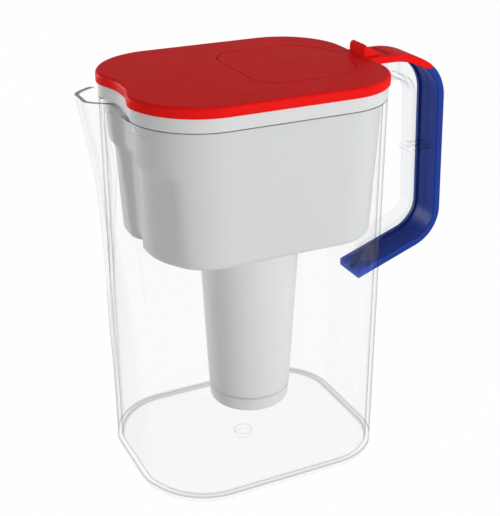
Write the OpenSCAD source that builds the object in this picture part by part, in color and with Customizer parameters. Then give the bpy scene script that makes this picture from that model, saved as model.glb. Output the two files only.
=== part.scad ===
// Water filter pitcher with a flip lid.
// Millimetres. +Z is up, -X is the pouring spout and +X is the handle.
// The origin lies on the table, under the middle of the body.

/* [Body] */
// Length of the body, from the spout side to the handle side
body_len = 161.4; // [150:0.2:175]
// Width of the body across the pouring direction
body_wid = 128.8; // [118:0.2:140]
// Height of the body's rim, where the reservoir rests
rim_h = 244.3; // [232:0.1:262]
// Thickness of the clear wall
body_wall = 2.6; // [2:0.1:3.2]
// Thickness of the floor
floor_t = 3.2; // [2.6:0.1:5]
// Plan radius of the two corners at the spout
front_corner = 43.5; // [36:0.5:48]
// Plan radius of the two corners at the handle
rear_corner = 40; // [34:0.5:48]
// Radius of the outer edge at the foot
foot_fillet = 3; // [2:0.5:4]
// Radius of the moulding mark on the floor
gate_r = 6; // [4:0.5:9]

/* [Spout] */
// How far the lip stands up above the rim
spout_rise = 9.7; // [6:0.1:12]
// How far the lip reaches out of the front wall
spout_reach = 20.6; // [15:0.2:23]
// How far the front wall stands out near the foot
keel_reach = 0.9; // [0.4:0.1:2]
// How fast the reach grows with height
reach_power = 2.4; // [2:0.1:3]
// Width of the raised lip
spout_mouth = 40; // [34:1:41]
// Width of the flat at the tip of the lip
tip_flat = 14.4; // [8:0.2:17]
// Width of the funnel at the lip
funnel_wid = 57; // [50:1:62]
// Width of the prow at its waist
waist_wid = 22; // [18:1:28]
// Height of the rim above the waist, under which the front flat widens
waist_drop = 44.3; // [34:0.1:60]
// Width of the front flat at the foot
keel_flat = 56; // [44:1:60]

/* [Handle] */
// Width of the blue grip
grip_wid = 25.5; // [22:0.5:30]
// Thickness of the grip and of the lid's arm
grip_t = 4.8; // [4:0.1:6]
// Depth of the channel inside the grip
grip_channel = 1.2; // [0.6:0.1:1.8]
// Width of each rim beside that channel
grip_rim = 3.4; // [2.5:0.1:4.5]
// Height of the seam between the lid's arm and the grip, above the rim
seam_rise = 3.1; // [1.7:0.1:4.7]
// How far the arm runs level behind the wall
arm_run = 31.5; // [24:0.5:36]
// How far the arm falls on its way to the grip
arm_fall = 15; // [12:0.5:19]
// How far the grip stands out behind the wall at its top
grip_top_out = 58; // [54:0.5:64]
// How far the grip stands out behind the wall at its bottom
grip_low_out = 62.7; // [58:0.5:68]
// Height of the rim above the grip's lower corner
grip_drop = 113.8; // [104:0.1:124]
// Height of that corner above the place where the grip's blade reaches the wall
blade_drop = 22.6; // [16:0.1:32]
// Width of the clear bar inside the grip
bar_wid = 12.8; // [10:0.2:16]
// Thickness of the clear bar
bar_t = 3; // [2.4:0.2:4]
// Thickness of the web behind the clear bar
web_t = 3; // [2:0.2:4]
// Clear depth of the finger gap at its top
finger_gap = 37.6; // [32:0.2:41]
// Height of the rim above the top of the finger gap
finger_drop = 3.7; // [2.3:0.1:8]
// Height of the finger gap at its outer side
finger_height = 93.1; // [84:0.1:100]
// Fall of the finger gap's lower edge towards the wall
finger_fall = 19; // [12:0.5:26]
// How far the clear bar leans outwards on its way down
bar_lean = 4.6; // [0:0.2:8]
// Height of the cross rib above the grip's lower corner
rib_rise = 61; // [40:0.5:85]

/* [Reservoir] */
// Height of the collar between the rim and the lid
collar_h = 8.2; // [7:0.1:10]
// Depth of the tub below the rim
tub_depth = 86.5; // [75:0.1:90]
// Thickness of the tub's wall
tub_wall = 2.2; // [1.8:0.1:2.8]
// Thickness of the tub's floor
tub_floor = 2.4; // [2:0.1:3]
// How much the sides and the rear draw in towards the tub's floor
tub_taper = 4.3; // [3:0.1:6]
// How much the front draws in towards the tub's floor
front_taper = 3.4; // [2:0.1:5]
// How much the radius of the front corners grows towards the tub's floor
corner_growth = 4; // [0:0.5:6]
// Radius of the tub's bottom edge
tub_fillet = 3.4; // [3:0.1:8]
// Depth of the pouring channel in the tub's front
channel_depth = 5.6; // [4:0.2:7]
// How far the tub's bottom edge rises under the pouring channel
channel_lift = 4.2; // [0:0.2:5]
// Height of the rim above the shoulder in the tub's front
shoulder_drop = 27.3; // [16:0.1:40]
// Depth of that shoulder
shoulder_step = 3.2; // [1:0.1:4]
// Depth of the notch in the collar and the lid
notch_depth = 5.4; // [4:0.2:7]
// Length of the snap lug on each front corner of the tub
lug_len = 18; // [10:1:24]
// How far the lugs stand out of the tub
lug_out = 0.5; // [0.3:0.1:0.6]
// Radius of the ring under the port
boss_r = 37.5; // [36.5:0.5:40]
// Height of the ring under the port
boss_h = 2; // [1.5:0.5:4]

/* [Lid] */
// Height of the lid's rim
lid_h = 6.3; // [5.8:0.1:7.5]
// How far the lid stands out beyond the collar
lid_overhang = 1.2; // [0.6:0.1:2]
// Thickness of the lid's top
lid_t = 2.4; // [2.2:0.1:3]
// Radius of the lid's upper edge
lid_edge = 2.2; // [1:0.1:3]
// Thickness of the rim's skirt
skirt_t = 2.4; // [2:0.1:3]
// How far the lid's plug reaches into the tub
plug_depth = 6; // [4:0.5:10]
// Thickness of the plug
plug_t = 1.8; // [1.4:0.1:2.4]

/* [Flip door] */
// Length of the oval panel
door_len = 72.6; // [64:0.2:76]
// Width of the oval panel
door_wid = 76.4; // [66:0.2:80]
// Middle of the oval panel along the body
door_x = 31.7; // [28:0.1:34]
// Width of the ledge that the panel rests on
ledge_w = 4; // [3:0.5:6]
// Width of the thumb tab and of the strip that joins it to the panel
tab_wid = 18; // [14:0.5:19]
// Height of the thumb tab above the lid
tab_h = 7.2; // [5:0.1:9]
// Place of the thumb tab's steep face along the body
tab_x = 79.5; // [78:0.1:82]
// Distance from that face to the hinge's axis
hinge_back = 15; // [13:0.1:17]
// Radius of the hinge's pin
pin_r = 1.1; // [0.9:0.05:1.3]
// Radius of the hinge's barrel
barrel_r = 2.4; // [2.2:0.05:2.4]

/* [Filter] */
// Place of the filter's axis along the body
filter_x = 4.8; // [0:0.1:8]
// Radius of the cup just under the tub
cup_top_r = 32.8; // [30:0.1:33]
// Radius of the cup at its lower end
cup_low_r = 27; // [25:0.1:29]
// Clear height between the body's floor and the filter
filter_clear = 29.8; // [8:0.2:40]
// Thickness of the cup's wall
cup_wall = 1.8; // [1.4:0.1:2.4]
// Height of the outlet cap below the cup
outlet_h = 10.6; // [6:0.2:14]
// Width of the flange that hangs the cup in the port
flange_w = 4.2; // [4:0.1:5]
// Thickness of the flange
flange_t = 2.4; // [2:0.1:3]
// Thickness of the sealing ring
seal_t = 1.6; // [1.2:0.1:2]
// Height of the inlet cap
cap_h = 5; // [4:0.5:8]
// Outer radius of the pull loop
loop_r = 13; // [10:0.5:15]
// Thickness of the pull loop
loop_t = 3; // [2.4:0.1:4]
// Thickness of each screen
screen_t = 0.6; // [0.4:0.1:1]
// Thickness of the felt between the two beds
felt_t = 2; // [1.5:0.1:3]
// Height of the resin bed
resin_h = 58; // [40:1:64]
// Number of slots in each filter cap
slot_count = 8; // [6:1:10]
// Width of each slot
slot_w = 2.4; // [1.6:0.1:3]

/* [Fits] */
// Gap under a piece that only rests on another
rest_gap = 0.1; // [0.05:0.05:0.3]
// Gap between the tub and the body's wall
tub_gap = 0.8; // [0.6:0.1:1.2]
// Gap round a piece that drops into another
drop_gap = 0.5; // [0.4:0.05:0.8]
// Radial gap of the hinge's pin in the barrel
pin_gap = 0.06; // [0.03:0.01:0.1]
// Radial gap of the hinge's pin in the lid's arm
ear_gap = 0.02; // [0.01:0.01:0.05]
// Gap between pieces that are fixed together
seam_gap = 0.2; // [0.1:0.05:0.3]

/* [Hidden] */

$fn = 96;
cut = 1;             // how far a cutter runs past what it cuts
corner_steps = 14;   // segments in each plan corner
front_steps = 22;    // segments across the front between the corners
wall_steps = 13;     // rings up the body's wall
tub_steps = 9;       // rings up the tub's wall
edge_steps = 3;      // rings round a rounded edge
bend_steps = 10;     // segments in each bend of the handle

half_len = body_len / 2;
half_wid = body_wid / 2;
spout_h = rim_h + spout_rise;
waist_z = rim_h - waist_drop;
waist_flat = 10.4;       // width of the front flat at the waist
flat_growth = 0.4;       // how fast that flat widens below the waist
funnel_growth = (funnel_wid - waist_wid) / (spout_h - waist_z);
flank_growth = 0.48;     // how fast the prow's foot widens below the waist
flank_max = 76;          // widest foot of the prow

shoulder_z = rim_h - shoulder_drop;
lug_drop = 8.3;          // height of the rim above the lugs
lug_angle = 170;         // place of each lug round its corner, from +X

collar_z = rim_h + rest_gap;
collar_top = collar_z + collar_h;
lid_z = collar_top + rest_gap;
lid_top = lid_z + lid_h;
tub_z = rim_h - tub_depth;
tub_floor_z = tub_z + tub_floor;
seam_z = rim_h + seam_rise;
grip_low_z = rim_h - grip_drop;
blade_z = grip_low_z - blade_drop;
finger_top_z = rim_h - finger_drop;
finger_low_z = finger_top_z - finger_height;
finger_wall_z = finger_low_z - finger_fall;
rib_z = grip_low_z + rib_rise;
arm_gap = 3 * seam_gap;  // gap between the clear neck and the lid's arm
arm_root = 12;           // how far the arm starts inside the body's end
grip_bends = [50, 30, 26];   // radii of the bends in the arm and the grip
finger_bends = [12, 10];     // radii of the bends in the clear bar
neck_top = lid_top - grip_t - arm_gap;

door_z = lid_top - lid_t;
hinge_x = tab_x + hinge_back;
hinge_z = door_z;
tab_half = tab_wid / 2;

seal_z = tub_floor_z + rest_gap;
flange_z = seal_z + seal_t;
flange_r = cup_top_r + flange_w;
cup_z = floor_t + filter_clear + outlet_h;
cup_slope = (cup_top_r - cup_low_r) / (flange_z - cup_z);
screen_z = cup_z + 1;
resin_z = screen_z + screen_t + rest_gap;
felt_z = resin_z + resin_h + rest_gap;
carbon_z = felt_z + felt_t + rest_gap;
inlet_z = flange_z + flange_t - cap_h;
carbon_h = inlet_z - screen_t - 2 * rest_gap - carbon_z;
port_r = cup_top_r + drop_gap;

// ---- plan outlines -------------------------------------------------------------

// Points along an arc about (cx, cy).
function arc_points(cx, cy, r, from, to, steps) =
    [for (i = [0:steps]) let (a = from + (to - from) * i / steps)
        [cx + r * cos(a), cy + r * sin(a)]];

// A rounded oblong. front and rear are its reaches along -X and +X.
function plan(front, rear, half, front_r, rear_r) = concat(
    arc_points(rear - rear_r, half - rear_r, rear_r, 0, 90, corner_steps),
    arc_points(front_r - front, half - front_r, front_r, 90, 180, corner_steps),
    [for (i = [1:front_steps - 1]) [-front, (half - front_r) * (1 - 2 * i / front_steps)]],
    arc_points(front_r - front, front_r - half, front_r, 180, 270, corner_steps),
    arc_points(rear - rear_r, rear_r - half, rear_r, 270, 360, corner_steps));

// 1 on the flat, 0 beyond the foot, and a smooth flank between them.
function bell(y, flat, foot) =
    abs(y) <= flat ? 1 : abs(y) >= foot ? 0 : 0.5 + 0.5 * cos(180 * (abs(y) - flat) / (foot - flat));

// The outline with its front pushed outwards by a bell of this depth.
function pushed(points, depth, flat, foot) =
    [for (p = points) p.x < 0 ? [p.x - depth * bell(p.y, flat, foot), p.y] : p];

// The body's outline, drawn in by inset, before the spout is added.
function body_plan(inset) =
    plan(half_len - inset, half_len - inset, half_wid - inset, front_corner - inset, rear_corner - inset);

function reach_at(z) = keel_reach + (spout_reach - keel_reach) * pow(z / spout_h, reach_power);
function flat_at(z) = z > waist_z
    ? (waist_flat + (tip_flat - waist_flat) * (z - waist_z) / (spout_h - waist_z)) / 2
    : min(keel_flat, waist_flat + flat_growth * (waist_z - z)) / 2;
function foot_at(z) =
    min(flank_max, waist_wid + (z > waist_z ? funnel_growth : flank_growth) * abs(z - waist_z)) / 2;

// The body's outline at one height. Its inner face narrows the prow by the draw.
function jug_plan(z, inset) =
    let (draw = min(inset, body_wall) * 0.5)
    pushed(body_plan(inset), reach_at(z), max(flat_at(z) - draw, 2), max(foot_at(z) - draw, 6));

// The outline of the collar, the lid and its plug, with the notch at the spout.
function notched(inset) = pushed(body_plan(inset), -notch_depth, 4, 30);

// The tub's outline at height z, drawn in by inset.
function tub_plan(z, inset) =
    let (low = (rim_h - z) / tub_depth)
    let (drop = body_wall + tub_gap + inset)
    let (side = drop + tub_taper * low)
    let (shoulder = z < shoulder_z ? shoulder_step : 0)
    let (sides = plan(half_len - drop - front_taper * low, half_len - side, half_wid - side,
                      front_corner - side + corner_growth * low, rear_corner - side))
    pushed(pushed(sides, -shoulder, 38, 54),
           -channel_depth * (1 - low / 2), 10 - 7 * low, 24 - 13 * low);

// The oval door's outline, drawn in by inset.
function door_plan(inset) =
    [for (p = plan(door_len / 2 - inset, door_len / 2 - inset, door_wid / 2 - inset, 17 - inset, 28 - inset))
        [p.x + door_x, p.y]];

// ---- lofted solids ---------------------------------------------------------------

function at_z(points, z) = [for (p = points) [p.x, p.y, z]];

// The same, raised in the middle of the front by this much.
function lifted(points, z, lift) =
    [for (p = points) [p.x, p.y, z + (p.x < 0 ? lift * bell(p.y, 4, 6.5) : 0)]];

// A closed solid through rings that all have the same number of points.
module loft(rings) {
    n = len(rings[0]);
    last = len(rings) - 1;
    points = [for (ring = rings) each ring];
    sides = [for (k = [0:last - 1], i = [0:n - 1])
        let (j = (i + 1) % n)
        each [[k * n + i, (k + 1) * n + i, (k + 1) * n + j], [k * n + i, (k + 1) * n + j, k * n + j]]];
    bottom = [[for (i = [0:n - 1]) i]];
    top = [[for (i = [n - 1:-1:0]) last * n + i]];
    polyhedron(points, concat(bottom, sides, top));
}

// ---- handle outlines, in the plane y = 0 ---------------------------------------------

// The arc that replaces the corner at p, between its neighbours a and b.
function bend_at(a, p, b, r) =
    let (u = (a - p) / norm(a - p))
    let (v = (b - p) / norm(b - p))
    let (half = acos(u * v) / 2)
    let (centre = p + (u + v) / norm(u + v) * r / sin(half))
    let (start = p + u * r / tan(half) - centre)
    let (turn = (cross(u, v) > 0 ? -1 : 1) * (180 - 2 * half))
    arc_points(centre.x, centre.y, r, atan2(start.y, start.x), atan2(start.y, start.x) + turn, bend_steps);

// Replaces the inner corners of a path by arcs, with one radius for each.
function bent(path, radii) = concat([path[0]],
    [for (i = [1:len(path) - 2]) each bend_at(path[i - 1], path[i], path[i + 1], radii[i - 1])],
    [path[len(path) - 1]]);

// The direction square to the path at point i, on its right-hand side.
function side_of(path, i) =
    let (a = path[max(i - 1, 0)])
    let (b = path[min(i + 1, len(path) - 1)])
    let (d = (b - a) / norm(b - a))
    [d[1], -d[0]];

function beside(path, gap) = [for (i = [0:len(path) - 1]) path[i] + gap * side_of(path, i)];

// The outer line of the lid's arm and the grip, from the lid to the wall.
grip_wall_x = half_len + seam_gap;
grip_line = bent([
    [half_len - arm_root, lid_top], [half_len + arm_run, lid_top], [half_len + grip_top_out, lid_top - arm_fall],
    [half_len + grip_low_out, grip_low_z], [grip_wall_x, blade_z]], grip_bends);

// The edge of the finger gap, which is the clear bar's inner face.
finger_line = bent([
    [half_len - body_wall / 2, finger_top_z], [half_len + finger_gap, finger_top_z],
    [half_len + finger_gap + bar_lean, finger_low_z], [half_len - body_wall / 2, finger_wall_z]], finger_bends);

// The strip between two lines at these distances inside a path.
module strip(path, near, far) {
    back = beside(path, far);
    polygon(concat(beside(path, near), [for (i = [len(back) - 1:-1:0]) back[i]]));
}

// Lays a shape drawn in x and z across the body, this wide.
module across(width) {
    translate([0, width / 2, 0])
        rotate([90, 0, 0])
            linear_extrude(width) children();
}

// The half plane above or below the seam.
module seam_side(above) {
    translate([0, above ? seam_z + seam_gap / 2 : seam_z - seam_gap / 2 - 2 * rim_h])
        square([2 * body_len, 2 * rim_h]);
}

// ---- clear body ------------------------------------------------------------------

function is_lip(p) = p.x < 0 && abs(p.y) < spout_mouth / 2;

// The top ring, which steps up from the rim to the lip.
function rim_ring(inset) =
    let (low = jug_plan(rim_h, inset))
    let (high = jug_plan(spout_h, inset))
    [for (i = [0:len(low) - 1]) is_lip(low[i]) ? [high[i].x, high[i].y, spout_h] : [low[i].x, low[i].y, rim_h]];

module jug_shell() {
    wall_from = foot_fillet;
    inner_from = floor_t + foot_fillet;
    loft(concat(
        [for (i = [0:edge_steps]) let (a = 90 * i / edge_steps)
            at_z(jug_plan(foot_fillet * (1 - cos(a)), foot_fillet * (1 - sin(a))), foot_fillet * (1 - cos(a)))],
        [for (i = [1:wall_steps - 1]) let (z = wall_from + (rim_h - wall_from) * i / wall_steps)
            at_z(jug_plan(z, 0), z)],
        [rim_ring(0), rim_ring(body_wall)],
        [for (i = [wall_steps - 1:-1:1]) let (z = inner_from + (rim_h - inner_from) * i / wall_steps)
            at_z(jug_plan(z, body_wall), z)],
        [for (i = [edge_steps:-1:0]) let (a = 90 * i / edge_steps)
            let (z = floor_t + foot_fillet * (1 - cos(a)))
            at_z(jug_plan(z, body_wall + foot_fillet * (1 - sin(a))), z)]));
}

// The clear bar, its web and its cross ribs.
module handle_core() {
    collar_clear = half_len + lid_overhang + drop_gap;
    difference() {
        intersection() {
            union() {
                across(bar_wid) strip(finger_line, -bar_t, 0);
                across(web_t) core_area();
                across(bar_wid) rib_area();
            }
            translate([half_len - body_wall / 2, -bar_wid, 0]) cube([body_len, 2 * bar_wid, neck_top]);
        }
        translate([half_len - 2 * body_wall, -bar_wid, rim_h - rest_gap])
            cube([2 * body_wall + collar_clear - half_len, 2 * bar_wid, 2 * collar_h]);
    }
}

// Everything inside a line that lies this far inside the grip's outer line.
module inside_line(depth) {
    polygon(concat(beside(grip_line, depth), [[half_len - body_wall / 2, blade_z]]));
}

// Everything between the finger gap and the grip, or the lid's arm above the seam.
module core_area() {
    difference() {
        union() {
            inside_line(grip_t + arm_gap);
            intersection() {
                inside_line(grip_t - grip_channel + seam_gap);
                seam_side(false);
            }
        }
        polygon(concat([[0, finger_top_z]], finger_line, [[0, finger_wall_z]]));
    }
}

// The rib behind the bar and the post in the neck.
module rib_area() {
    intersection() {
        core_area();
        union() {
            translate([half_len, rib_z - bar_t / 2]) square([body_len, bar_t]);
            translate([half_len + finger_gap - 14, finger_top_z - bar_t]) square([1.4 * bar_t, 2 * collar_h]);
        }
    }
}

module jug() {
    color([0.9, 0.94, 0.96, 0.45]) {
        jug_shell();
        handle_core();
        translate([0, 0, floor_t - seam_gap]) cylinder(r = gate_r, h = 2 * seam_gap);
    }
}

module handle_grip() {
    color([0.1, 0.2, 0.62])
    difference() {
        across(grip_wid) intersection() {
            strip(grip_line, 0, grip_t);
            seam_side(false);
        }
        across(grip_wid - 2 * grip_rim) intersection() {
            strip(grip_line, grip_t - grip_channel, grip_t + cut);
            seam_side(false);
        }
        translate([0, -grip_wid, 0]) cube([half_len + seam_gap, 2 * grip_wid, rim_h]);
    }
}

// ---- reservoir -------------------------------------------------------------------

module tub_shell() {
    rise = rim_h - tub_z - tub_fillet;
    inner_r = tub_fillet - tub_wall;
    inner_rise = rim_h - tub_floor_z - inner_r;
    loft(concat(
        [for (i = [0:edge_steps]) let (a = 90 * i / edge_steps)
            let (z = tub_z + tub_fillet * (1 - cos(a)))
            lifted(tub_plan(z, tub_fillet * (1 - sin(a))), z, channel_lift * sin(a))],
        [for (i = [1:tub_steps]) let (z = tub_z + tub_fillet + rise * i / tub_steps)
            at_z(tub_plan(z, 0), z == rim_h ? collar_z : z)],
        [at_z(notched(0), collar_z), at_z(notched(0), collar_top)],
        [for (i = [tub_steps:-1:1]) let (z = tub_floor_z + inner_r + inner_rise * i / tub_steps)
            at_z(tub_plan(z, tub_wall), i == tub_steps ? collar_top : z)],
        [for (i = [edge_steps:-1:0]) let (a = 90 * i / edge_steps)
            let (z = tub_floor_z + inner_r * (1 - cos(a)))
            at_z(tub_plan(z, tub_wall + inner_r * (1 - sin(a))), z)]));
}

// The raised lug below the collar, laid along the tub's corner with a slight fall.
module snap_lug(side) {
    lug_r = 2.2;
    corner_r = front_corner - body_wall - tub_gap - lug_r + lug_out - tub_taper * lug_drop / tub_depth;
    turn = lug_len / corner_r * 90 / PI;
    for (step = [-1, 0])
        hull()
            for (k = [step, step + 1])
                translate([front_corner - half_len, side * (half_wid - front_corner), rim_h - lug_drop - k])
                    rotate([0, 0, side * (lug_angle - turn * k)])
                        translate([corner_r, 0, 0]) sphere(r = lug_r, $fn = 16);
}

module reservoir() {
    color([0.8, 0.83, 0.85])
    difference() {
        union() {
            tub_shell();
            snap_lug(1);
            snap_lug(-1);
            translate([filter_x, 0, tub_z - boss_h]) cylinder(r = boss_r, h = boss_h + tub_floor / 2);
        }
        translate([filter_x, 0, tub_z - boss_h - cut]) cylinder(r = port_r, h = boss_h + tub_floor + 2 * cut);
    }
}

// ---- lid and flip door ---------------------------------------------------------------

module lid_shell() {
    loft(concat(
        [at_z(notched(-lid_overhang), lid_z)],
        [for (i = [0:edge_steps]) let (a = 90 * i / edge_steps)
            at_z(notched(lid_edge * (1 - cos(a)) - lid_overhang), lid_top - lid_edge * (1 - sin(a)))]));
}

module lid() {
    plug_inset = body_wall + tub_gap + tub_wall + drop_gap;
    color([0.72, 0.1, 0.09])
    difference() {
        union() {
            difference() {
                lid_shell();
                translate([0, 0, lid_z - cut])
                    linear_extrude(lid_h - lid_t + cut) polygon(notched(skirt_t - lid_overhang));
            }
            translate([0, 0, lid_z - plug_depth]) linear_extrude(plug_depth + lid_h - lid_t / 2) difference() {
                polygon(plug_plan(plug_inset));
                polygon(plug_plan(plug_inset + plug_t));
            }
            translate([0, 0, door_z - lid_t]) linear_extrude(lid_t) polygon(door_plan(-ledge_w));
            across(grip_wid) intersection() {
                strip(grip_line, 0, grip_t);
                seam_side(true);
            }
        }
        door_room();
    }
}

// The plug follows the tub's mouth, channel included.
function plug_plan(inset) =
    pushed(body_plan(inset), -channel_depth, 10, 24);

// The room for the panel, its strip, the tab and the barrel, and the pin's holes.
module door_room() {
    translate([0, 0, door_z - rest_gap]) linear_extrude(lid_h) polygon(door_plan(-drop_gap));
    translate([0, 0, lid_z - plug_depth]) linear_extrude(2 * lid_h + plug_depth) polygon(door_plan(ledge_w));
    translate([door_x, -tab_half - drop_gap, door_z - rest_gap])
        cube([hinge_x - door_x, tab_wid + 2 * drop_gap, lid_h]);
    translate([hinge_x - barrel_r - 2 * drop_gap, -tab_half - drop_gap, lid_z - plug_depth])
        cube([2 * barrel_r + 4 * drop_gap, tab_wid + 2 * drop_gap, 2 * lid_h + plug_depth]);
    hinge_axis() cylinder(r = pin_r + ear_gap, h = grip_wid - skirt_t + rest_gap, center = true);
}

module hinge_axis() {
    translate([hinge_x, 0, hinge_z]) rotate([90, 0, 0]) children();
}

module flip_door() {
    color([0.72, 0.1, 0.09])
    difference() {
        union() {
            translate([0, 0, door_z]) linear_extrude(lid_t) polygon(door_plan(0));
            translate([door_x, -tab_half, door_z]) cube([hinge_x - door_x, tab_wid, lid_t]);
            across(tab_wid) polygon([
                [tab_x, door_z], [tab_x, lid_top + tab_h - 1.2], [tab_x + 1.4, lid_top + tab_h],
                [tab_x + 2.6, lid_top + tab_h - 0.3], [hinge_x - barrel_r - 0.8, lid_top], [hinge_x, lid_top],
                [hinge_x, door_z]]);
            hinge_axis() cylinder(r = barrel_r, h = tab_wid, center = true);
        }
        hinge_axis() cylinder(r = pin_r + pin_gap, h = tab_wid + 2 * cut, center = true);
    }
}

module hinge_pin() {
    color([0.75, 0.76, 0.78])
    hinge_axis() cylinder(r = pin_r, h = grip_wid - skirt_t, center = true);
}

// ---- filter ------------------------------------------------------------------------

// The cup's outer radius at a height.
function cup_r(z) = cup_top_r - cup_slope * (flange_z - z);

// The clear radius inside the cup at a height.
function bed_r(z) = cup_r(z) - cup_wall - seam_gap / 2;

module filter_axis(z) {
    translate([filter_x, 0, z]) children();
}

// A disc or a bed that fills the cup from z upwards.
module fill(z, height) {
    filter_axis(z) cylinder(r1 = bed_r(z), r2 = bed_r(z + height), h = height);
}

// Slots that run outwards between two radii, all round the axis.
module slots(inner, outer, depth) {
    for (i = [0:slot_count - 1])
        rotate([0, 0, 360 * i / slot_count]) translate([inner, -slot_w / 2, 0]) cube([outer - inner, slot_w, depth]);
}

module filter_cup() {
    color([0.87, 0.86, 0.84])
    filter_axis(0) rotate_extrude() polygon([
        [cup_low_r - cup_wall - 2, cup_z], [cup_r(cup_z), cup_z], [cup_top_r, flange_z], [flange_r, flange_z],
        [flange_r, flange_z + flange_t], [cup_top_r, flange_z + flange_t],
        [cup_r(inlet_z) - cup_wall, inlet_z], [cup_r(screen_z) - cup_wall, screen_z - rest_gap],
        [cup_low_r - cup_wall - 2, screen_z - rest_gap]]);
}

module filter_outlet() {
    low_r = cup_low_r - 1;
    color([0.85, 0.84, 0.82])
    filter_axis(cup_z - outlet_h) difference() {
        rotate_extrude() polygon([
            [0, 0], [low_r - 2, 0], [low_r, 2], [cup_low_r, outlet_h - 1], [cup_low_r - 0.8, outlet_h - 1],
            [cup_low_r - 0.8, outlet_h - rest_gap], [cup_low_r - 4.5, outlet_h - rest_gap],
            [cup_low_r - 4.5, 2.4], [0, 2.4]]);
        translate([0, 0, -cut]) slots(6, low_r - 5, 2.4 + 2 * cut);
    }
}

module filter_inlet() {
    rim_r = bed_r(inlet_z);
    plate_z = cap_h - 2;
    color([0.35, 0.5, 0.72])
    filter_axis(inlet_z) difference() {
        union() {
            difference() {
                cylinder(r = rim_r, h = cap_h);
                translate([0, 0, -cut]) cylinder(r = rim_r - 2.4, h = plate_z + cut);
            }
            translate([0, loop_t / 2, cap_h - loop_t / 2]) rotate([90, 0, 0]) difference() {
                cylinder(r = loop_r, h = loop_t);
                translate([0, 0, -cut]) cylinder(r = loop_r - loop_t, h = loop_t + 2 * cut);
                translate([-loop_r, -2 * loop_r, -cut]) cube([2 * loop_r, 2 * loop_r, loop_t + 2 * cut]);
            }
        }
        translate([0, 0, -cut]) slots(loop_r + 3, rim_r - 5, cap_h + 2 * cut);
    }
}

module seal_ring() {
    color([0.25, 0.26, 0.28])
    filter_axis(seal_z) difference() {
        cylinder(r = flange_r - seam_gap, h = seal_t);
        translate([0, 0, -cut]) cylinder(r = port_r, h = seal_t + 2 * cut);
    }
}

module inlet_screen() {
    color([0.7, 0.72, 0.74]) fill(inlet_z - rest_gap - screen_t, screen_t);
}

module outlet_screen() {
    color([0.7, 0.72, 0.74]) fill(screen_z, screen_t);
}

module carbon_bed() {
    color([0.12, 0.12, 0.13]) fill(carbon_z, carbon_h);
}

module felt_disc() {
    color([0.95, 0.94, 0.9]) fill(felt_z, felt_t);
}

module resin_bed() {
    color([0.82, 0.68, 0.42]) fill(resin_z, resin_h);
}

jug();
handle_grip();
reservoir();
lid();
flip_door();
hinge_pin();
filter_cup();
filter_outlet();
filter_inlet();
seal_ring();
inlet_screen();
outlet_screen();
carbon_bed();
felt_disc();
resin_bed();
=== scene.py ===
"""A water filter pitcher with a flip lid.

The pieces are a clear body with a pouring spout, a blue grip, a grey reservoir, a red lid with its flip door,
and a white filter that hangs in the reservoir. Every shape is a surface over two parameters, or a profile
carried along a path, worked out with numpy in millimetres and put into its mesh in metres.
+Z is up, -X is the spout and +X is the handle.
"""

import math
from functools import partial
from types import SimpleNamespace

import bpy
import numpy as np
from bpy.props import FloatProperty, FloatVectorProperty, IntProperty, PointerProperty
from mathutils import Matrix, Vector


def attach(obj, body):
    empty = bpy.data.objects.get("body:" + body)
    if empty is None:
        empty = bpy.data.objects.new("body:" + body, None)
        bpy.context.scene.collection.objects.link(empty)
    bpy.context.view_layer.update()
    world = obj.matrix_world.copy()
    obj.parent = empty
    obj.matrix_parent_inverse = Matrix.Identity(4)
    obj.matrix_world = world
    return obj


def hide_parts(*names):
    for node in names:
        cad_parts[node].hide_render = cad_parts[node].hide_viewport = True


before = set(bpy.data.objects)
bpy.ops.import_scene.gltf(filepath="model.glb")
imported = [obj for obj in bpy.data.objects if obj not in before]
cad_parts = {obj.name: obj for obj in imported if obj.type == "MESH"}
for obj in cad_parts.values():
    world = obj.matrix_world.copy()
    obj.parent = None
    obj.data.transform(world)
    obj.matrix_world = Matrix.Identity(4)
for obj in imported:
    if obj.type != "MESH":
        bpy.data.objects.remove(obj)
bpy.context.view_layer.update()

bl_info = {
    "name": "Water filter pitcher",
    "version": (1, 0, 0),
    "blender": (4, 5, 0),
    "location": "View3D > Sidebar > Pitcher",
    "description": "Builds a clear water filter pitcher with a flip lid",
    "category": "Add Mesh",
}

MM = 0.001
CORNER_STEPS = 36  # segments in each plan corner
FRONT_STEPS = 84  # segments across the front between the corners
EDGE_STEPS = 6  # segments round a small edge of a profile
BEND_STEPS = 14  # segments in each bend of the handle
TURN_STEPS = 128  # segments round the filter
AXLE_STEPS = 48  # segments round the hinge
EDGE_RINGS = 6  # rings round a small edge
FILLET_RINGS = 9  # rings round the bottom edges of the body and the tub
CREST_RINGS = 10  # rings round the lid's upper edge
WALL_RINGS = 74  # rings up a wall, outside
TUB_RINGS = 46  # rings up the inside of the tub
SHARP_ANGLE = 32  # degrees between faces from which an edge is drawn sharp


# ---- settings ------------------------------------------------------------------------------


def length(name, millimetres, description):
    """A length property, given in millimetres and kept in metres."""
    return FloatProperty(
        name=name,
        description=description,
        default=millimetres * MM,
        unit="LENGTH",
        subtype="DISTANCE",
        precision=4,
    )


def number(name, value, description):
    """A plain number without a unit."""
    return FloatProperty(name=name, description=description, default=value)


def power(name, watts, description):
    """The power of a lamp."""
    return FloatProperty(name=name, description=description, default=watts, unit="POWER")


def colour(name, shade, description):
    """A colour property, given as three 8-bit values and kept as linear light."""
    parts = np.array(shade) / 255
    linear = np.where(parts <= 0.04045, parts / 12.92, ((parts + 0.055) / 1.055) ** 2.4)
    return FloatVectorProperty(
        name=name,
        description=description,
        default=tuple(linear.tolist()),
        subtype="COLOR",
        size=3,
        min=0,
        max=1,
    )


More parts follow.
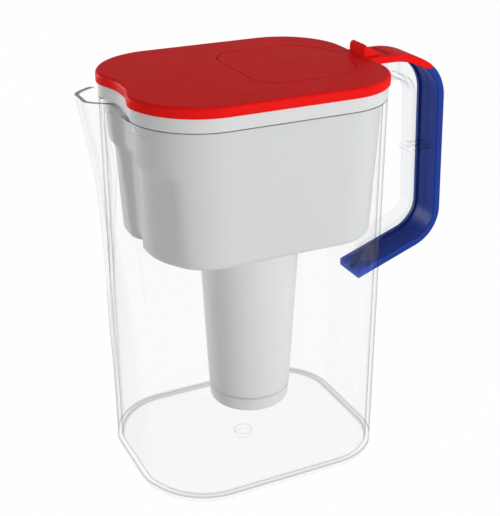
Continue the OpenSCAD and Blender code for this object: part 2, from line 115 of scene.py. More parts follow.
class BodySizes(bpy.types.PropertyGroup):
    """Sizes of the clear body."""

    half_len: length("Half length", 80.7, "From the middle of the body to its end")
    half_wid: length("Half width", 64.4, "From the middle of the body to its side")
    rim_h: length("Rim height", 244.3, "Height of the rim, where the reservoir rests")
    body_wall: length("Wall", 2.6, "Thickness of the clear wall")
    floor_t: length("Floor", 3.2, "Thickness of the floor")
    front_corner: length("Front corners", 43.5, "Plan radius of the two corners at the spout")
    rear_corner: length("Rear corners", 40, "Plan radius of the two corners at the handle")
    foot_fillet: length("Foot edge", 3, "Radius of the edge at the foot")
    rim_edge: length("Rim edge", 0.7, "Radius of the rim's edges")
    gate_r: length("Moulding mark", 6, "Radius of the ring on the floor")


class SpoutSizes(bpy.types.PropertyGroup):
    """Sizes of the spout and the prow under it."""

    spout_rise: length("Lip rise", 9.7, "How far the lip stands up above the rim")
    spout_reach: length("Lip reach", 20.6, "How far the lip reaches out of the front wall")
    keel_reach: length("Keel reach", 0.9, "How far the front stands out near the foot")
    reach_power: number("Reach growth", 2.4, "How fast the reach grows with height")
    spout_mouth: length("Mouth", 40, "Width of the raised lip")
    tip_flat: length("Tip", 14.4, "Width of the flat at the tip of the lip")
    funnel_wid: length("Funnel", 57, "Width of the funnel at the lip")
    waist_wid: length("Waist", 22, "Width of the prow at its waist")
    waist_flat: length("Waist flat", 10.4, "Width of the front flat at the waist")
    waist_drop: length("Waist drop", 44.3, "Height of the rim above the waist")
    keel_flat: length("Keel flat", 56, "Width of the front flat at the foot")
    flank_max: length("Prow foot", 76, "Widest foot of the prow")


class HandleSizes(bpy.types.PropertyGroup):
    """Sizes of the grip, the lid's arm and the clear core."""

    grip_wid: length("Grip width", 25.5, "Width of the grip and the arm")
    grip_t: length("Grip thickness", 4.8, "Thickness of the grip and the arm")
    grip_channel: length("Channel", 1.2, "Depth of the channel inside the grip")
    grip_rim: length("Channel rim", 3.4, "Width of each rim beside the channel")
    grip_edge: length("Grip edge", 0.9, "Radius of the grip's edges")
    seam_rise: length("Seam", 3.1, "Height of the seam between arm and grip above the rim")
    arm_run: length("Arm run", 31.5, "How far the arm runs level behind the wall")
    arm_fall: length("Arm fall", 15, "How far the arm falls on its way to the grip")
    grip_top_out: length("Grip top", 58, "How far the grip stands out at its top")
    grip_low_out: length("Grip foot", 62.7, "How far the grip stands out at its bottom")
    grip_drop: length("Grip drop", 113.8, "Height of the rim above the grip's lower corner")
    blade_drop: length("Blade drop", 22.6, "Height of that corner above the blade's end")
    bar_wid: length("Bar width", 12.8, "Width of the clear bar")
    bar_t: length("Bar thickness", 3, "Thickness of the clear bar")
    web_t: length("Web", 3, "Thickness of the clear web")
    finger_gap: length("Finger gap", 37.6, "Clear depth of the finger gap")
    finger_drop: length("Gap drop", 3.7, "Height of the rim above the finger gap")
    finger_height: length("Gap height", 93.1, "Height of the finger gap at its outer side")
    finger_fall: length("Gap fall", 19, "Fall of the gap's lower edge towards the wall")
    bar_lean: length("Bar lean", 4.6, "How far the bar leans outwards on its way down")
    rib_rise: length("Rib", 61, "Height of the cross rib above the grip's lower corner")


class TubSizes(bpy.types.PropertyGroup):
    """Sizes of the reservoir."""

    collar_h: length("Collar", 8.2, "Height of the collar between rim and lid")
    tub_depth: length("Depth", 86.5, "Depth of the tub below the rim")
    tub_wall: length("Wall", 2.2, "Thickness of the tub's wall")
    tub_floor: length("Floor", 2.4, "Thickness of the tub's floor")
    tub_taper: length("Taper", 4.3, "How much sides and rear draw in towards the floor")
    front_taper: length("Front taper", 3.4, "How much the front draws in towards the floor")
    corner_growth: length("Corner growth", 4, "How much the front corners' radius grows downwards")
    tub_fillet: length("Bottom edge", 3.4, "Radius of the tub's bottom edge")
    channel_depth: length("Channel", 5.6, "Depth of the pouring channel")
    channel_lift: length("Channel lift", 4.2, "Rise of the bottom edge under the channel")
    shoulder_drop: length("Shoulder drop", 27.3, "Height of the rim above the shoulder")
    shoulder_step: length("Shoulder step", 3.2, "Depth of the shoulder")
    notch_depth: length("Notch", 5.4, "Depth of the notch in collar and lid")
    lug_len: length("Lug length", 18, "Length of each snap lug")
    lug_out: length("Lug height", 0.5, "How far the lugs stand out")
    boss_r: length("Boss radius", 37.5, "Radius of the ring under the port")
    boss_h: length("Boss height", 2, "Height of the ring under the port")
    tub_edge: length("Collar edge", 0.45, "Radius of the collar's edges")


class LidSizes(bpy.types.PropertyGroup):
    """Sizes of the lid and its flip door."""

    lid_h: length("Lid height", 6.3, "Height of the lid's rim")
    lid_overhang: length("Overhang", 1.2, "How far the lid stands out beyond the collar")
    lid_t: length("Top", 2.4, "Thickness of the lid's top")
    lid_edge: length("Upper edge", 2.2, "Radius of the lid's upper edge")
    skirt_t: length("Skirt", 2.4, "Thickness of the rim's skirt")
    plug_depth: length("Plug depth", 6, "How far the plug reaches into the tub")
    plug_t: length("Plug", 1.8, "Thickness of the plug")
    door_len: length("Door length", 72.6, "Length of the oval panel")
    door_wid: length("Door width", 76.4, "Width of the oval panel")
    door_x: length("Door place", 31.7, "Middle of the oval panel along the body")
    ledge_w: length("Ledge", 4, "Width of the ledge that the panel rests on")
    tab_wid: length("Tab width", 18, "Width of the thumb tab and its strip")
    tab_h: length("Tab height", 7.2, "Height of the thumb tab above the lid")
    tab_x: length("Tab place", 79.5, "Place of the tab's steep face along the body")
    tab_round: length("Tab corners", 2.8, "Radius of the tab's upper corners")
    hinge_back: length("Hinge place", 15, "Distance from that face to the hinge's axis")
    pin_r: length("Pin radius", 1.1, "Radius of the hinge's pin")
    barrel_r: length("Barrel radius", 2.4, "Radius of the hinge's barrel")


class FilterSizes(bpy.types.PropertyGroup):
    """Sizes of the filter."""

    filter_x: length("Filter place", 4.8, "Place of the filter's axis along the body")
    cup_top_r: length("Cup top radius", 32.8, "Radius of the cup just under the tub")
    cup_low_r: length("Cup foot radius", 27, "Radius of the cup at its lower end")
    filter_clear: length("Clear height", 29.8, "Clear height between the body's floor and the filter")
    cup_wall: length("Cup wall", 1.8, "Thickness of the cup's wall")
    outlet_h: length("Outlet cap", 10.6, "Height of the outlet cap")
    flange_w: length("Flange width", 4.2, "Width of the cup's flange")
    flange_t: length("Flange", 2.4, "Thickness of the flange")
    seal_t: length("Seal", 1.6, "Thickness of the sealing ring")
    cap_h: length("Inlet cap", 5, "Height of the inlet cap")
    loop_r: length("Loop radius", 13, "Outer radius of the pull loop")
    loop_t: length("Loop thickness", 3, "Thickness of the pull loop")
    slot_w: length("Slot width", 2.4, "Width of each slot")
    slot_count: IntProperty(name="Slots", description="Number of slots in each cap", default=8, min=3)


class FitSizes(bpy.types.PropertyGroup):
    """Gaps between the pieces."""

    rest_gap: length("Rest gap", 0.1, "Gap under a piece that rests on another")
    tub_gap: length("Tub gap", 0.8, "Gap between the tub and the body's wall")
    drop_gap: length("Drop gap", 0.5, "Gap round a piece that drops into another")
    pin_gap: length("Pin gap", 0.06, "Radial gap of the pin in the barrel")
    ear_gap: length("Ear gap", 0.02, "Radial gap of the pin in the arm")
    seam_gap: length("Seam gap", 0.2, "Gap between pieces that are fixed together")


class Finishes(bpy.types.PropertyGroup):
    """Colours of the finishes."""

    clear: colour("Clear plastic", (254, 254, 254), "Tint of the clear body")
    # Painted shade: the grey that the clear body is drawn with where its faces turn edge-on.
    clear_edge: colour("Clear edge", (213, 215, 217), "Tint of the clear body seen edge-on")
    red: colour("Red plastic", (240, 28, 26), "Lid and flip door")
    blue: colour("Blue plastic", (32, 60, 152), "Grip")
    grey: colour("Grey plastic", (223, 225, 225), "Reservoir")
    white: colour("White plastic", (234, 233, 231), "Filter cup and outlet cap")
    inlet: colour("Inlet plastic", (96, 134, 178), "Filter's inlet cap")
    rubber: colour("Seal rubber", (62, 64, 68), "Sealing ring")
    steel: colour("Pin steel", (186, 188, 192), "Hinge pin")
    mesh: colour("Screen mesh", (188, 192, 196), "Screens of the filter")
    carbon: colour("Carbon", (34, 34, 36), "Carbon bed")
    felt: colour("Felt", (236, 233, 224), "Felt disc")
    resin: colour("Resin beads", (206, 168, 104), "Resin bed")
    floor: colour("Floor", (244, 244, 244), "Ground under the pitcher")


class StageSizes(bpy.types.PropertyGroup):
    """The lamps and the ground."""

    key_power: power("Key lamp", 16.8, "Power of the front lamp")
    fill_power: power("Rear lamp", 5, "Power of the lamp behind the handle")
    side_power: power("Side lamp", 2, "Power of the lamp at the spout")
    back_power: power("Back lamp", 17, "Power of the lamp behind the spout")
    sky_level: number("Sky level", 0.30, "Strength of the even light from all round")
    ground_size: length("Ground size", 12000, "Width of the ground")


GROUPS = {
    "pitcher_body": BodySizes,
    "pitcher_spout": SpoutSizes,
    "pitcher_handle": HandleSizes,
    "pitcher_tub": TubSizes,
    "pitcher_lid": LidSizes,
    "pitcher_filter": FilterSizes,
    "pitcher_fits": FitSizes,
}
SETTINGS = {**GROUPS, "pitcher_finishes": Finishes, "pitcher_stage": StageSizes}

# Small details in millimetres. Each flat and foot is the half width of a bell's top and of its base.
DETAILS = {
    "flat_growth": 0.4,  # how fast the front flat widens below the waist, per millimetre
    "flank_growth": 0.48,  # how fast the prow's foot widens below the waist, per millimetre
    "flat_least": 2,  # least flat of the front on the wall's inside
    "foot_least": 6,  # least foot there
    "notch_flat": 4,
    "notch_foot": 30,
    "channel_flat": 10,
    "channel_foot": 24,
    "channel_flat_draw": 7,  # how much narrower the channel's flat is at the tub's bottom
    "channel_foot_draw": 13,  # how much narrower the channel's foot is there
    "shoulder_flat": 38,
    "shoulder_foot": 54,
    "shoulder_below": 5.5,  # how far the shoulder's curve reaches down
    "shoulder_above": 3,  # how far it reaches up
    "lift_flat": 4,
    "lift_foot": 6.5,
    "lift_height": 9,  # height over which the bottom edge's lift fades out
    "door_front_r": 17,  # plan radius of the oval panel's corners at the spout
    "door_rear_r": 28,  # plan radius of its corners at the handle
    "lip_blend": 2.2,  # how far the ends of the raised lip are blended to each side
    "lip_root": 10,  # how far below the waist the rings start to rise towards the lip
    "mark_h": 0.3,  # height of the moulding mark's ridge and depth of its dimple
    "mark_w": 0.5,  # width of the ridge
    "dimple_r": (1.6, 2.6),  # radii between which the dimple rises to the floor
    "arm_root": 12,  # how far the arm starts inside the body's end
    "grip_bends": (50, 30, 26),  # radii of the bends in the arm and the grip
    "finger_bends": (12, 10),  # radii of the bends in the clear bar
    "channel_edge": 0.35,  # radius of the edges of the grip's channel
    "bar_edge": 0.8,  # radius of the clear bar's edges
    "beam_edge": 0.6,  # radius of the upright edges of the cross rib and the post
    "rib_root": 1,  # how far the cross rib starts behind the finger gap
    "post_back": 14,  # distance from the post to the finger gap's outer side
    "post_root": 0.5,  # how far the post starts above the finger gap
    "post_ratio": 1.4,  # length of the post, in thicknesses of the bar
    "lug_drop": 8.3,  # height of the rim above the lugs
    "lug_r": 2.2,  # radius of a lug's bead
    "lug_angle": 170,  # place of each lug round its corner, in degrees from +X
    "port_edge": 0.4,  # slant of the port's edges
    "boss_edge": 0.5,  # radius of the boss's lower edge
    "lid_small_edge": 0.35,  # radius of the lid's other edges
    "ledge_edge": 0.2,  # slant of the ledge's edge
    "panel_edge": 0.5,  # radius of the oval panel's upper edge
    "strip_root": 8,  # how far the strip starts inside the oval panel
    "strip_edge": 0.3,  # radius of the strip's upper edges
    "strip_low_edge": 0.15,  # radius of its lower edges
    "crest_edge": 0.9,  # radius of the thumb tab's crest
    "crest_flat": 0.4,  # length of the flat behind it
    "ramp_sag": 0.35,  # how far the tab's ramp sags in its middle
    "ramp_gap": 0.8,  # distance from the ramp's end to the barrel
    "barrel_edge": 0.4,  # radius of the barrel's end edges
    "lip_w": 2,  # width of the lip at the cup's lower end
    "lip_t": 1,  # thickness of that lip
    "hub_r": 1,  # radius at which the caps' profiles end at the axis
    "slot_inner_r": 6,  # inner end of the outlet cap's slots
    "slot_rim": 5,  # distance from the slots' outer ends to the cap's edge
    "slot_loop": 3,  # distance from the inlet cap's slots to the pull loop
    "seal_edge": 0.7,  # radius of the sealing ring's edges
    "loop_edge": 0.7,  # radius of the pull loop's edges
    "cap_draw": 1,  # how much narrower the outlet cap is at its foot
    "cap_groove": 1,  # height of the groove between the cup and the outlet cap
    "cap_step": 0.8,  # depth of the groove
    "cap_wall": 4.5,  # thickness of the outlet cap's wall at its top
    "cap_floor": 2.4,  # thickness of the outlet cap's floor
    "cap_skirt": 2.4,  # thickness of the inlet cap's skirt
    "cap_plate": 2,  # thickness of the inlet cap's plate
    "cut": 1,  # how far a cutter runs past what it cuts
}


def sizes(scene):
    """All sizes in millimetres, with the heights and places that follow from them."""
    s = SimpleNamespace(**DETAILS)
    for key, group in GROUPS.items():
        values = getattr(scene, key)
        for name in group.__annotations__:
            value = getattr(values, name)
            setattr(s, name, value if name in ("reach_power", "slot_count") else value / MM)
    s.spout_h = s.rim_h + s.spout_rise
    s.waist_z = s.rim_h - s.waist_drop
    s.collar_z = s.rim_h + s.rest_gap
    s.collar_top = s.collar_z + s.collar_h
    s.lid_z = s.collar_top + s.rest_gap
    s.lid_top = s.lid_z + s.lid_h
    s.door_z = s.lid_top - s.lid_t
    s.hinge_x = s.tab_x + s.hinge_back
    s.tub_z = s.rim_h - s.tub_depth
    s.tub_floor_z = s.tub_z + s.tub_floor
    s.seam_z = s.rim_h + s.seam_rise
    s.grip_low_z = s.rim_h - s.grip_drop
    s.grip_wall_x = s.half_len + s.seam_gap
    s.finger_top_z = s.rim_h - s.finger_drop
    s.finger_low_z = s.finger_top_z - s.finger_height
    s.core_x = s.half_len - s.body_wall / 2
    s.arm_gap = 3 * s.seam_gap
    s.seal_z = s.tub_floor_z + s.rest_gap
    s.flange_z = s.seal_z + s.seal_t
    s.cup_z = s.floor_t + s.filter_clear + s.outlet_h
    s.screen_z = s.cup_z + s.lip_t
    s.flange_r = s.cup_top_r + s.flange_w
    s.port_r = s.cup_top_r + s.drop_gap
    s.inlet_z = s.flange_z + s.flange_t - s.cap_h
    return s


# ---- outlines ------------------------------------------------------------------------------


def quarter_turn(count=EDGE_RINGS):
    """This many angles from 0 to 90 degrees, in radians."""
    return np.radians(np.linspace(0, 90, count))


def outline_parameters():
    """For each point of a rounded oblong, counter-clockwise: its end, its side share and its direction.

    A point lies at end * (reach - r) + r * cos and side * (half - r) + r * sin, so a corner turns about its
    centre, and the front is the run between its two corners.
    """
    quarter = np.linspace(0, 90, CORNER_STEPS + 1)
    across = np.linspace(1, -1, FRONT_STEPS + 1)[1:-1]
    one = np.ones_like(quarter)
    end = np.concatenate([one, -one, -np.ones_like(across), -one, one])
    side = np.concatenate([one, one, across, -one, -one])
    degrees = np.concatenate([quarter, quarter + 90, 180 + 0 * across, quarter + 180, quarter + 270])
    angle = np.radians(degrees)
    return end, side, np.cos(angle), np.sin(angle)


END, SIDE, COS, SIN = outline_parameters()


def oblong(front, rear, half, front_r, rear_r):
    """x and y of a rounded oblong. The sizes may be columns, which gives one outline for each row."""
    r = np.where(END < 0, front_r, rear_r)
    reach = np.where(END < 0, front, rear)
    return END * (reach - r) + r * COS, SIDE * (half - r) + r * SIN


def bell(y, flat, foot):
    """1 where |y| is under flat, 0 beyond foot, and half a cosine wave between them."""
    share = np.clip((np.abs(y) - flat) / (foot - flat), 0, 1)
    return 0.5 + 0.5 * np.cos(np.pi * share)


def pushed(x, y, depth, flat, foot):
    """x, moved outwards at the front by depth times the bell of y."""
    return np.where(END < 0, x - depth * bell(y, flat, foot), x)


def smooth(value, low, high):
    """0 below low, 1 above high, and 3t^2 - 2t^3 between them."""
    t = np.clip((value - low) / (high - low), 0, 1)
    return t * t * (3 - 2 * t)


def body_outline(s, inset):
    """The body's plan, drawn in by inset, without its spout."""
    reach, half = s.half_len - inset, s.half_wid - inset
    return oblong(reach, reach, half, s.front_corner - inset, s.rear_corner - inset)


def jug_outline(s, z, inset):
    """The body's plan at height z: a bell pushes the front out, by a power of the height.

    The bell is narrowest at the waist. Its flat and its foot widen evenly from there, upwards and downwards.
    """
    x, y = body_outline(s, inset)
    reach = s.keel_reach + (s.spout_reach - s.keel_reach) * (z / s.spout_h) ** s.reach_power
    rise = z - s.waist_z
    funnel = (s.funnel_wid - s.waist_wid) / (s.spout_h - s.waist_z)
    above = s.waist_flat + (s.tip_flat - s.waist_flat) * rise / (s.spout_h - s.waist_z)
    below = np.minimum(s.keel_flat, s.waist_flat - s.flat_growth * rise)
    flat = np.where(rise > 0, above, below) / 2
    growth = np.where(rise > 0, funnel, s.flank_growth)
    foot = np.minimum(s.flank_max, s.waist_wid + growth * np.abs(rise)) / 2
    draw = np.minimum(inset, s.body_wall) / 2
    flat, foot = np.maximum(flat - draw, s.flat_least), np.maximum(foot - draw, s.foot_least)
    return pushed(x, y, reach, flat, foot), y


def notched(s, inset):
    """The outline of the collar and the lid, with the notch at the spout."""
    x, y = body_outline(s, inset)
    return pushed(x, y, -s.notch_depth, s.notch_flat, s.notch_foot), y


def plug_outline(s, inset):
    """The lid's plug follows the mouth of the tub, channel included."""
    x, y = body_outline(s, inset)
    return pushed(x, y, -s.channel_depth, s.channel_flat, s.channel_foot), y


def tub_outline(s, z, inset):
    """The tub's plan at height z, with its taper, its shoulder and its pouring channel.

    The taper and the channel change evenly with the depth under the rim, and the shoulder sets in smoothly.
    """
    low = (s.rim_h - z) / s.tub_depth
    drop = s.body_wall + s.tub_gap + inset
    side = drop + s.tub_taper * low
    x, y = oblong(
        s.half_len - drop - s.front_taper * low,
        s.half_len - side,
        s.half_wid - side,
        s.front_corner - side + s.corner_growth * low,
        s.rear_corner - side,
    )
    shoulder_z = s.rim_h - s.shoulder_drop
    step = 1 - smooth(z, shoulder_z - s.shoulder_below, shoulder_z + s.shoulder_above)
    x = pushed(x, y, -s.shoulder_step * step, s.shoulder_flat, s.shoulder_foot)
    flat = s.channel_flat - s.channel_flat_draw * low
    foot = s.channel_foot - s.channel_foot_draw * low
    return pushed(x, y, -s.channel_depth * (1 - low / 2), flat, foot), y


def door_outline(s, inset):
    """The oval panel's plan, drawn in by inset."""
    reach, half = s.door_len / 2 - inset, s.door_wid / 2 - inset
    x, y = oblong(reach, reach, half, s.door_front_r - inset, s.door_rear_r - inset)
    return x + s.door_x, y


def circle_outline(like, radius, centre=0.0):
    """Points evenly spaced on a circle about a place on the x axis.

    There are as many as another outline has, and the circle is turned so that they lie nearest to that one's.
    """
    angle = np.unwrap(np.arctan2(like[1], like[0] - centre))
    even = np.linspace(0, 2 * np.pi, len(angle), endpoint=False)
    even += (angle - even).mean()
    return centre + radius * np.cos(even), radius * np.sin(even)


def between(first, second, share):
    """The outline part of the way from one to another."""
    return tuple((1 - share) * a + share * b for a, b in zip(first, second))


# ---- surfaces ------------------------------------------------------------------------------


def ring(plan, z):
    """One ring of points from an outline and a height, which may differ from point to point."""
    x, y = plan
    return np.stack([x, y, np.broadcast_to(z, x.shape)], axis=-1)


def edge_rings(outline, inset, z, draw, rise, angles):
    """Rings round an edge: the inset grows by draw (1 - cos a), and the height is z less rise (1 - sin a)."""
    return [ring(outline(inset + draw * (1 - np.cos(a))), z - rise + rise * np.sin(a)) for a in angles]


def lofted(rings, ends="pole"):
    """Points and faces of the surface through rings of equal length.

    Point (k, i) joins (k, i + 1), (k + 1, i + 1) and (k + 1, i). The ends are closed by a pole, by a flat
    face, or by joining the last ring to the first ("loop").
    """
    rings = np.asarray(rings)
    count, size = rings.shape[:2]
    points = rings.reshape(-1, 3)
    k = np.arange(count if ends == "loop" else count - 1)[:, None]
    i = np.arange(size)[None, :]
    after, beside = (k + 1) % count, (i + 1) % size
    faces = np.stack([k * size + i, k * size + beside, after * size + beside, after * size + i], axis=-1)
    faces = faces.reshape(-1, 4).tolist()
    turn = np.arange(size)
    last = (count - 1) * size
    if ends == "face":
        faces += [turn[::-1].tolist(), (last + turn).tolist()]
    if ends == "pole":
        poles = np.stack([rings[0].mean(axis=0), rings[-1].mean(axis=0)])
        first = len(points)
        points = np.vstack([points, poles])
        onward = (turn + 1) % size
        faces += np.stack([onward, turn, np.full(size, first)], axis=-1).tolist()
        faces += np.stack([last + turn, last + onward, np.full(size, first + 1)], axis=-1).tolist()
    return points, faces


def lathed(s, profile, ends="loop"):
    """A profile of radius and height, turned about the filter's axis."""
    angle = np.linspace(0, 2 * np.pi, TURN_STEPS, endpoint=False)
    r, z = profile[:, 0][:, None], profile[:, 1][:, None]
    rings = np.stack([s.filter_x + r * np.cos(angle), r * np.sin(angle), z + 0 * angle], axis=-1)
    return lofted(rings, ends)


def rounded(corners, radii, steps=EDGE_STEPS):
    """A closed outline whose corners are arcs. Each arc touches both legs of its corner."""
    corners = np.asarray(corners, dtype=float)
    parts = [
        arc_at(a, p, b, r, steps)
        for a, p, b, r in zip(np.roll(corners, 1, axis=0), corners, np.roll(corners, -1, axis=0), radii)
    ]
    return np.vstack(parts)


def arc_at(a, p, b, r, steps):
    """The arc that replaces the corner at p: its centre is on the bisector, r / sin(half the angle) away."""
    if r <= 0:
        return np.array([p])
    u, v = (a - p) / np.linalg.norm(a - p), (b - p) / np.linalg.norm(b - p)
    half = np.arccos(np.clip(u @ v, -1, 1)) / 2
    centre = p + (u + v) / np.linalg.norm(u + v) * r / np.sin(half)
    start = p + u * r / np.tan(half) - centre
    turn = np.pi - 2 * half
    if u[0] * v[1] - u[1] * v[0] > 0:
        turn = -turn
    angle = np.arctan2(start[1], start[0]) + turn * np.linspace(0, 1, steps + 1)
    return centre + r * np.stack([np.cos(angle), np.sin(angle)], axis=-1)


def bent(corners, radii):
    """An open path whose inner corners are arcs."""
    corners = np.asarray(corners, dtype=float)
    arcs = [arc_at(*corners[i : i + 3], r, BEND_STEPS) for i, r in enumerate(radii)]
    return np.vstack([corners[:1], *arcs, corners[-1:]])


def square_to(path):
    """The direction square to the path at each point, on its right-hand side."""
    padded = np.vstack([path[:1], path, path[-1:]])
    along = padded[2:] - padded[:-2]
    along /= np.linalg.norm(along, axis=1, keepdims=True)
    return np.stack([along[:, 1], -along[:, 0]], axis=-1)


def beside(path, gap):
    """The line that runs at this distance on the right of a path."""
    return path + gap * square_to(path)


def swept(path, profile):
    """Rings of a profile (depth to the right of the path, y) carried along a path in the plane y = 0."""
    side = square_to(path)
    depth, y = profile[:, 0][None, :], profile[:, 1][None, :]
    x = path[:, :1] + depth * side[:, :1]
    z = path[:, 1:] + depth * side[:, 1:]
    return np.stack([x, np.broadcast_to(y, x.shape), z], axis=-1)


def slid(rings, index, neighbour, axis, value):
    """Moves one end ring along the path's last leg, point by point, on to the plane where axis = value."""
    along = rings[index] - rings[neighbour]
    share = (value - rings[index][:, axis]) / along[:, axis]
    rings[index] = rings[index] + along * share[:, None]
    return rings


def slab(outline, width):
    """A flat shape in x and z, laid across the body this wide."""
    flat = np.stack([outline[:, 0], 0 * outline[:, 0], outline[:, 1]], axis=-1)
    return lofted([flat - (0, width / 2, 0), flat + (0, width / 2, 0)], "face")


def boxed(low, high, edge=0.0):
    """A block with its upright edges rounded."""
    (x0, y0, z0), (x1, y1, z1) = low, high
    plan = rounded([(x0, y0), (x1, y0), (x1, y1), (x0, y1)], [edge] * 4)
    return lofted([ring(plan.T, z0), ring(plan.T, z1)], "face")


def axle(s, radius, half, edge=0.0):
    """A round bar on the hinge's axis: a circle carried along y, with its end edges rounded."""
    turn = quarter_turn(EDGE_STEPS + 1) if edge else np.array([np.pi / 2])
    near = np.stack([edge * (1 - np.sin(turn)), -half + edge * (1 - np.cos(turn))], axis=-1)
    stations = np.vstack([near, near[::-1] * (1, -1)])
    angle = np.linspace(0, 2 * np.pi, AXLE_STEPS, endpoint=False)
    r = radius - stations[:, :1]
    x, y, z = s.hinge_x + r * np.cos(angle), stations[:, 1:] + 0 * angle, s.door_z + r * np.sin(angle)
    return lofted(np.stack([x, y, z], axis=-1), "face")


# ---- meshes --------------------------------------------------------------------------------


def enclosed(mesh):
    """The signed volume inside a mesh: the sum of a . (b x c) / 6 over its triangles."""
    mesh.calc_loop_triangles()
    points = np.empty(len(mesh.vertices) * 3)
    mesh.vertices.foreach_get("co", points)
    corners = np.empty(len(mesh.loop_triangles) * 3, dtype=np.int32)
    mesh.loop_triangles.foreach_get("vertices", corners)
    a, b, c = points.reshape(-1, 3)[corners.reshape(-1, 3)].transpose(1, 0, 2)
    return float(np.sum(a * np.cross(b, c))) / 6


def solid(name, surface):
    """A mesh object from points in millimetres and faces, turned so that its faces point outwards."""
    points, faces = surface
    mesh = bpy.data.meshes.new(name)
    mesh.from_pydata((np.asarray(points) * MM).tolist(), [], faces)
    mesh.update()
    if enclosed(mesh) < 0:
        mesh.flip_normals()
    piece = bpy.data.objects.new(name, mesh)
    bpy.context.scene.collection.objects.link(piece)
    return piece


def combined(piece, surface, operation):
    """Joins a second solid to a piece, or cuts it away."""
    tool = solid("tool", surface)
    change = piece.modifiers.new("combine", "BOOLEAN")
    change.object, change.operation, change.solver = tool, operation, "MANIFOLD"
    graph = bpy.context.evaluated_depsgraph_get()
    mesh = bpy.data.meshes.new_from_object(piece.evaluated_get(graph))
    piece.modifiers.clear()
    old, used = piece.data, tool.data
    piece.data = mesh
    bpy.data.objects.remove(tool)
    bpy.data.meshes.remove(used)
    bpy.data.meshes.remove(old)
    if not len(mesh.polygons):
        raise RuntimeError(f"{piece.name} came out empty")
    return piece


def finished(context, piece, finish, body, *nodes):
    """Gives a piece its finish and shading, ties it to its body and lets it stand for its nodes."""
    mesh = piece.data
    mesh.name = piece.name
    mesh.materials.clear()
    mesh.materials.append(material_of(context, finish))
    mesh.shade_smooth()
    mesh.set_sharp_from_angle(angle=math.radians(SHARP_ANGLE))
    weighted = piece.modifiers.new("even shading", "WEIGHTED_NORMAL")
    weighted.keep_sharp = True
    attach(piece, body)
    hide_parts(*nodes)


# ---- finishes ------------------------------------------------------------------------------

CLEAR_IOR = 1.12
CLEAR_STRAIGHT = 0.97  # share of the light that passes straight through the clear plastic
EDGE_SHADE_TURN = (0.70, 1.0)  # how far a face is turned away where its painted edge shade sets in and where it is full
THROUGH_TINT = (0.97, 0.97, 0.972)  # tint for shadows and for light that has crossed several walls
DEEP = 3.5  # ray depth beyond which that tint is used

# Painted shade on the clear plastic: where it is drawn grey, and its tint there. Each span runs from where
# the tint sets in to where it is full, in millimetres above the floor, behind the rear wall or above the rim.
FOOT_SPAN, FOOT_SHADE_TINT = (3.8, 0.8), (0.975, 0.975, 0.98)
FLOOR_LINE_SPAN, FLOOR_LINE_SHADE_TINT = (0.2, 1.2), (0.5, 0.51, 0.53)
CORE_SPAN, CORE_SHADE_TINT = (2.3, 4.3), (0.965, 0.97, 0.975)
CORE_TURN, TURNED_CORE_SHADE_TINT = (0.45, 0.95), (0.72, 0.73, 0.75)  # the turn is how far a face looks away
MARK_SPAN, MARK_SHADE_TINT = (2.8, 1.3), (0.9, 0.905, 0.91)
MARK_LINE = (1.3, 0.4)  # half widths of the mark's soft edge and of its core
LIP_SPAN, LIP_SHADE_TINT = (-0.9, -0.5), (0.22, 0.23, 0.25)
LIP_END = (1.8, 1.3)  # the lip's painted shade ends here, behind the rear wall
LEVEL = (0.2, 0.7)  # upward share of a face's normal: slanting and level

GROOVE_SHADE_TINT = (0.55, 0.55, 0.56)
GROOVE_SHADE_LINE = (0.7, 0.3)  # half widths of the painted shade line in a groove, in millimetres: its soft edge and its core
TIP_LIGHT_SPAN = (100, 90)  # places on the x axis between which painted light on a tip sets in and is full, in millimetres


def group_tree(name, inputs, outputs):
    """An empty shader node group with named sockets."""
    tree = bpy.data.node_groups.new(name, "ShaderNodeTree")
    for title, kind, default in inputs:
        socket = tree.interface.new_socket(title, in_out="INPUT", socket_type="NodeSocket" + kind)
        socket.default_value = default
    for title, kind in outputs:
        tree.interface.new_socket(title, in_out="OUTPUT", socket_type="NodeSocket" + kind)
    return tree, tree.nodes.new("NodeGroupInput"), tree.nodes.new("NodeGroupOutput")


def maths(tree, operation, first, second=0.0):
    """A Math node on two sockets or numbers."""
    node = tree.nodes.new("ShaderNodeMath")
    node.operation = operation
    for socket, value in zip(node.inputs, (first, second)):
        if isinstance(value, (int, float)):
            socket.default_value = value
        else:
            tree.links.new(value, socket)
    return node.outputs[0]


def off_by(tree, value, middle):
    """How far a value is from another one."""
    return maths(tree, "ABSOLUTE", maths(tree, "SUBTRACT", value, middle))


def rgba(shade, level=1.0):
    """A colour with its alpha, made darker or paler by a factor."""
    return (*(level * part for part in shade), 1.0)


def split(tree, vector):
    """The X, Y and Z of a vector."""
    node = tree.nodes.new("ShaderNodeSeparateXYZ")
    tree.links.new(vector, node.inputs[0])
    return node.outputs


def own_place(tree):
    """The piece's own coordinates, as a vector."""
    return tree.nodes.new("ShaderNodeTexCoord").outputs["Object"]


def blended(tree, kind, factor, first, second):
    """A colour Mix node of this blend kind. Each input is a socket, a number or a colour."""
    node = tree.nodes.new("ShaderNodeMix")
    node.data_type, node.blend_type = "RGBA", kind
    for socket, value in zip((node.inputs[0], node.inputs[6], node.inputs[7]), (factor, first, second)):
        if isinstance(value, (int, float, tuple)):
            socket.default_value = value
        else:
            tree.links.new(value, socket)
    return node.outputs[2]


def noise(tree, scale, detail=2.0, stretch=None):
    """Noise on the piece's own coordinates, with the pattern stretched if asked."""
    place = own_place(tree)
    if stretch:
        turn = tree.nodes.new("ShaderNodeMapping")
        turn.inputs["Scale"].default_value = stretch
        tree.links.new(place, turn.inputs["Vector"])
        place = turn.outputs[0]
    node = tree.nodes.new("ShaderNodeTexNoise")
    node.inputs["Detail"].default_value = detail
    tree.links.new(place, node.inputs["Vector"])
    if isinstance(scale, (int, float)):
        node.inputs["Scale"].default_value = scale
    else:
        tree.links.new(scale, node.inputs["Scale"])
    return node.outputs[0]


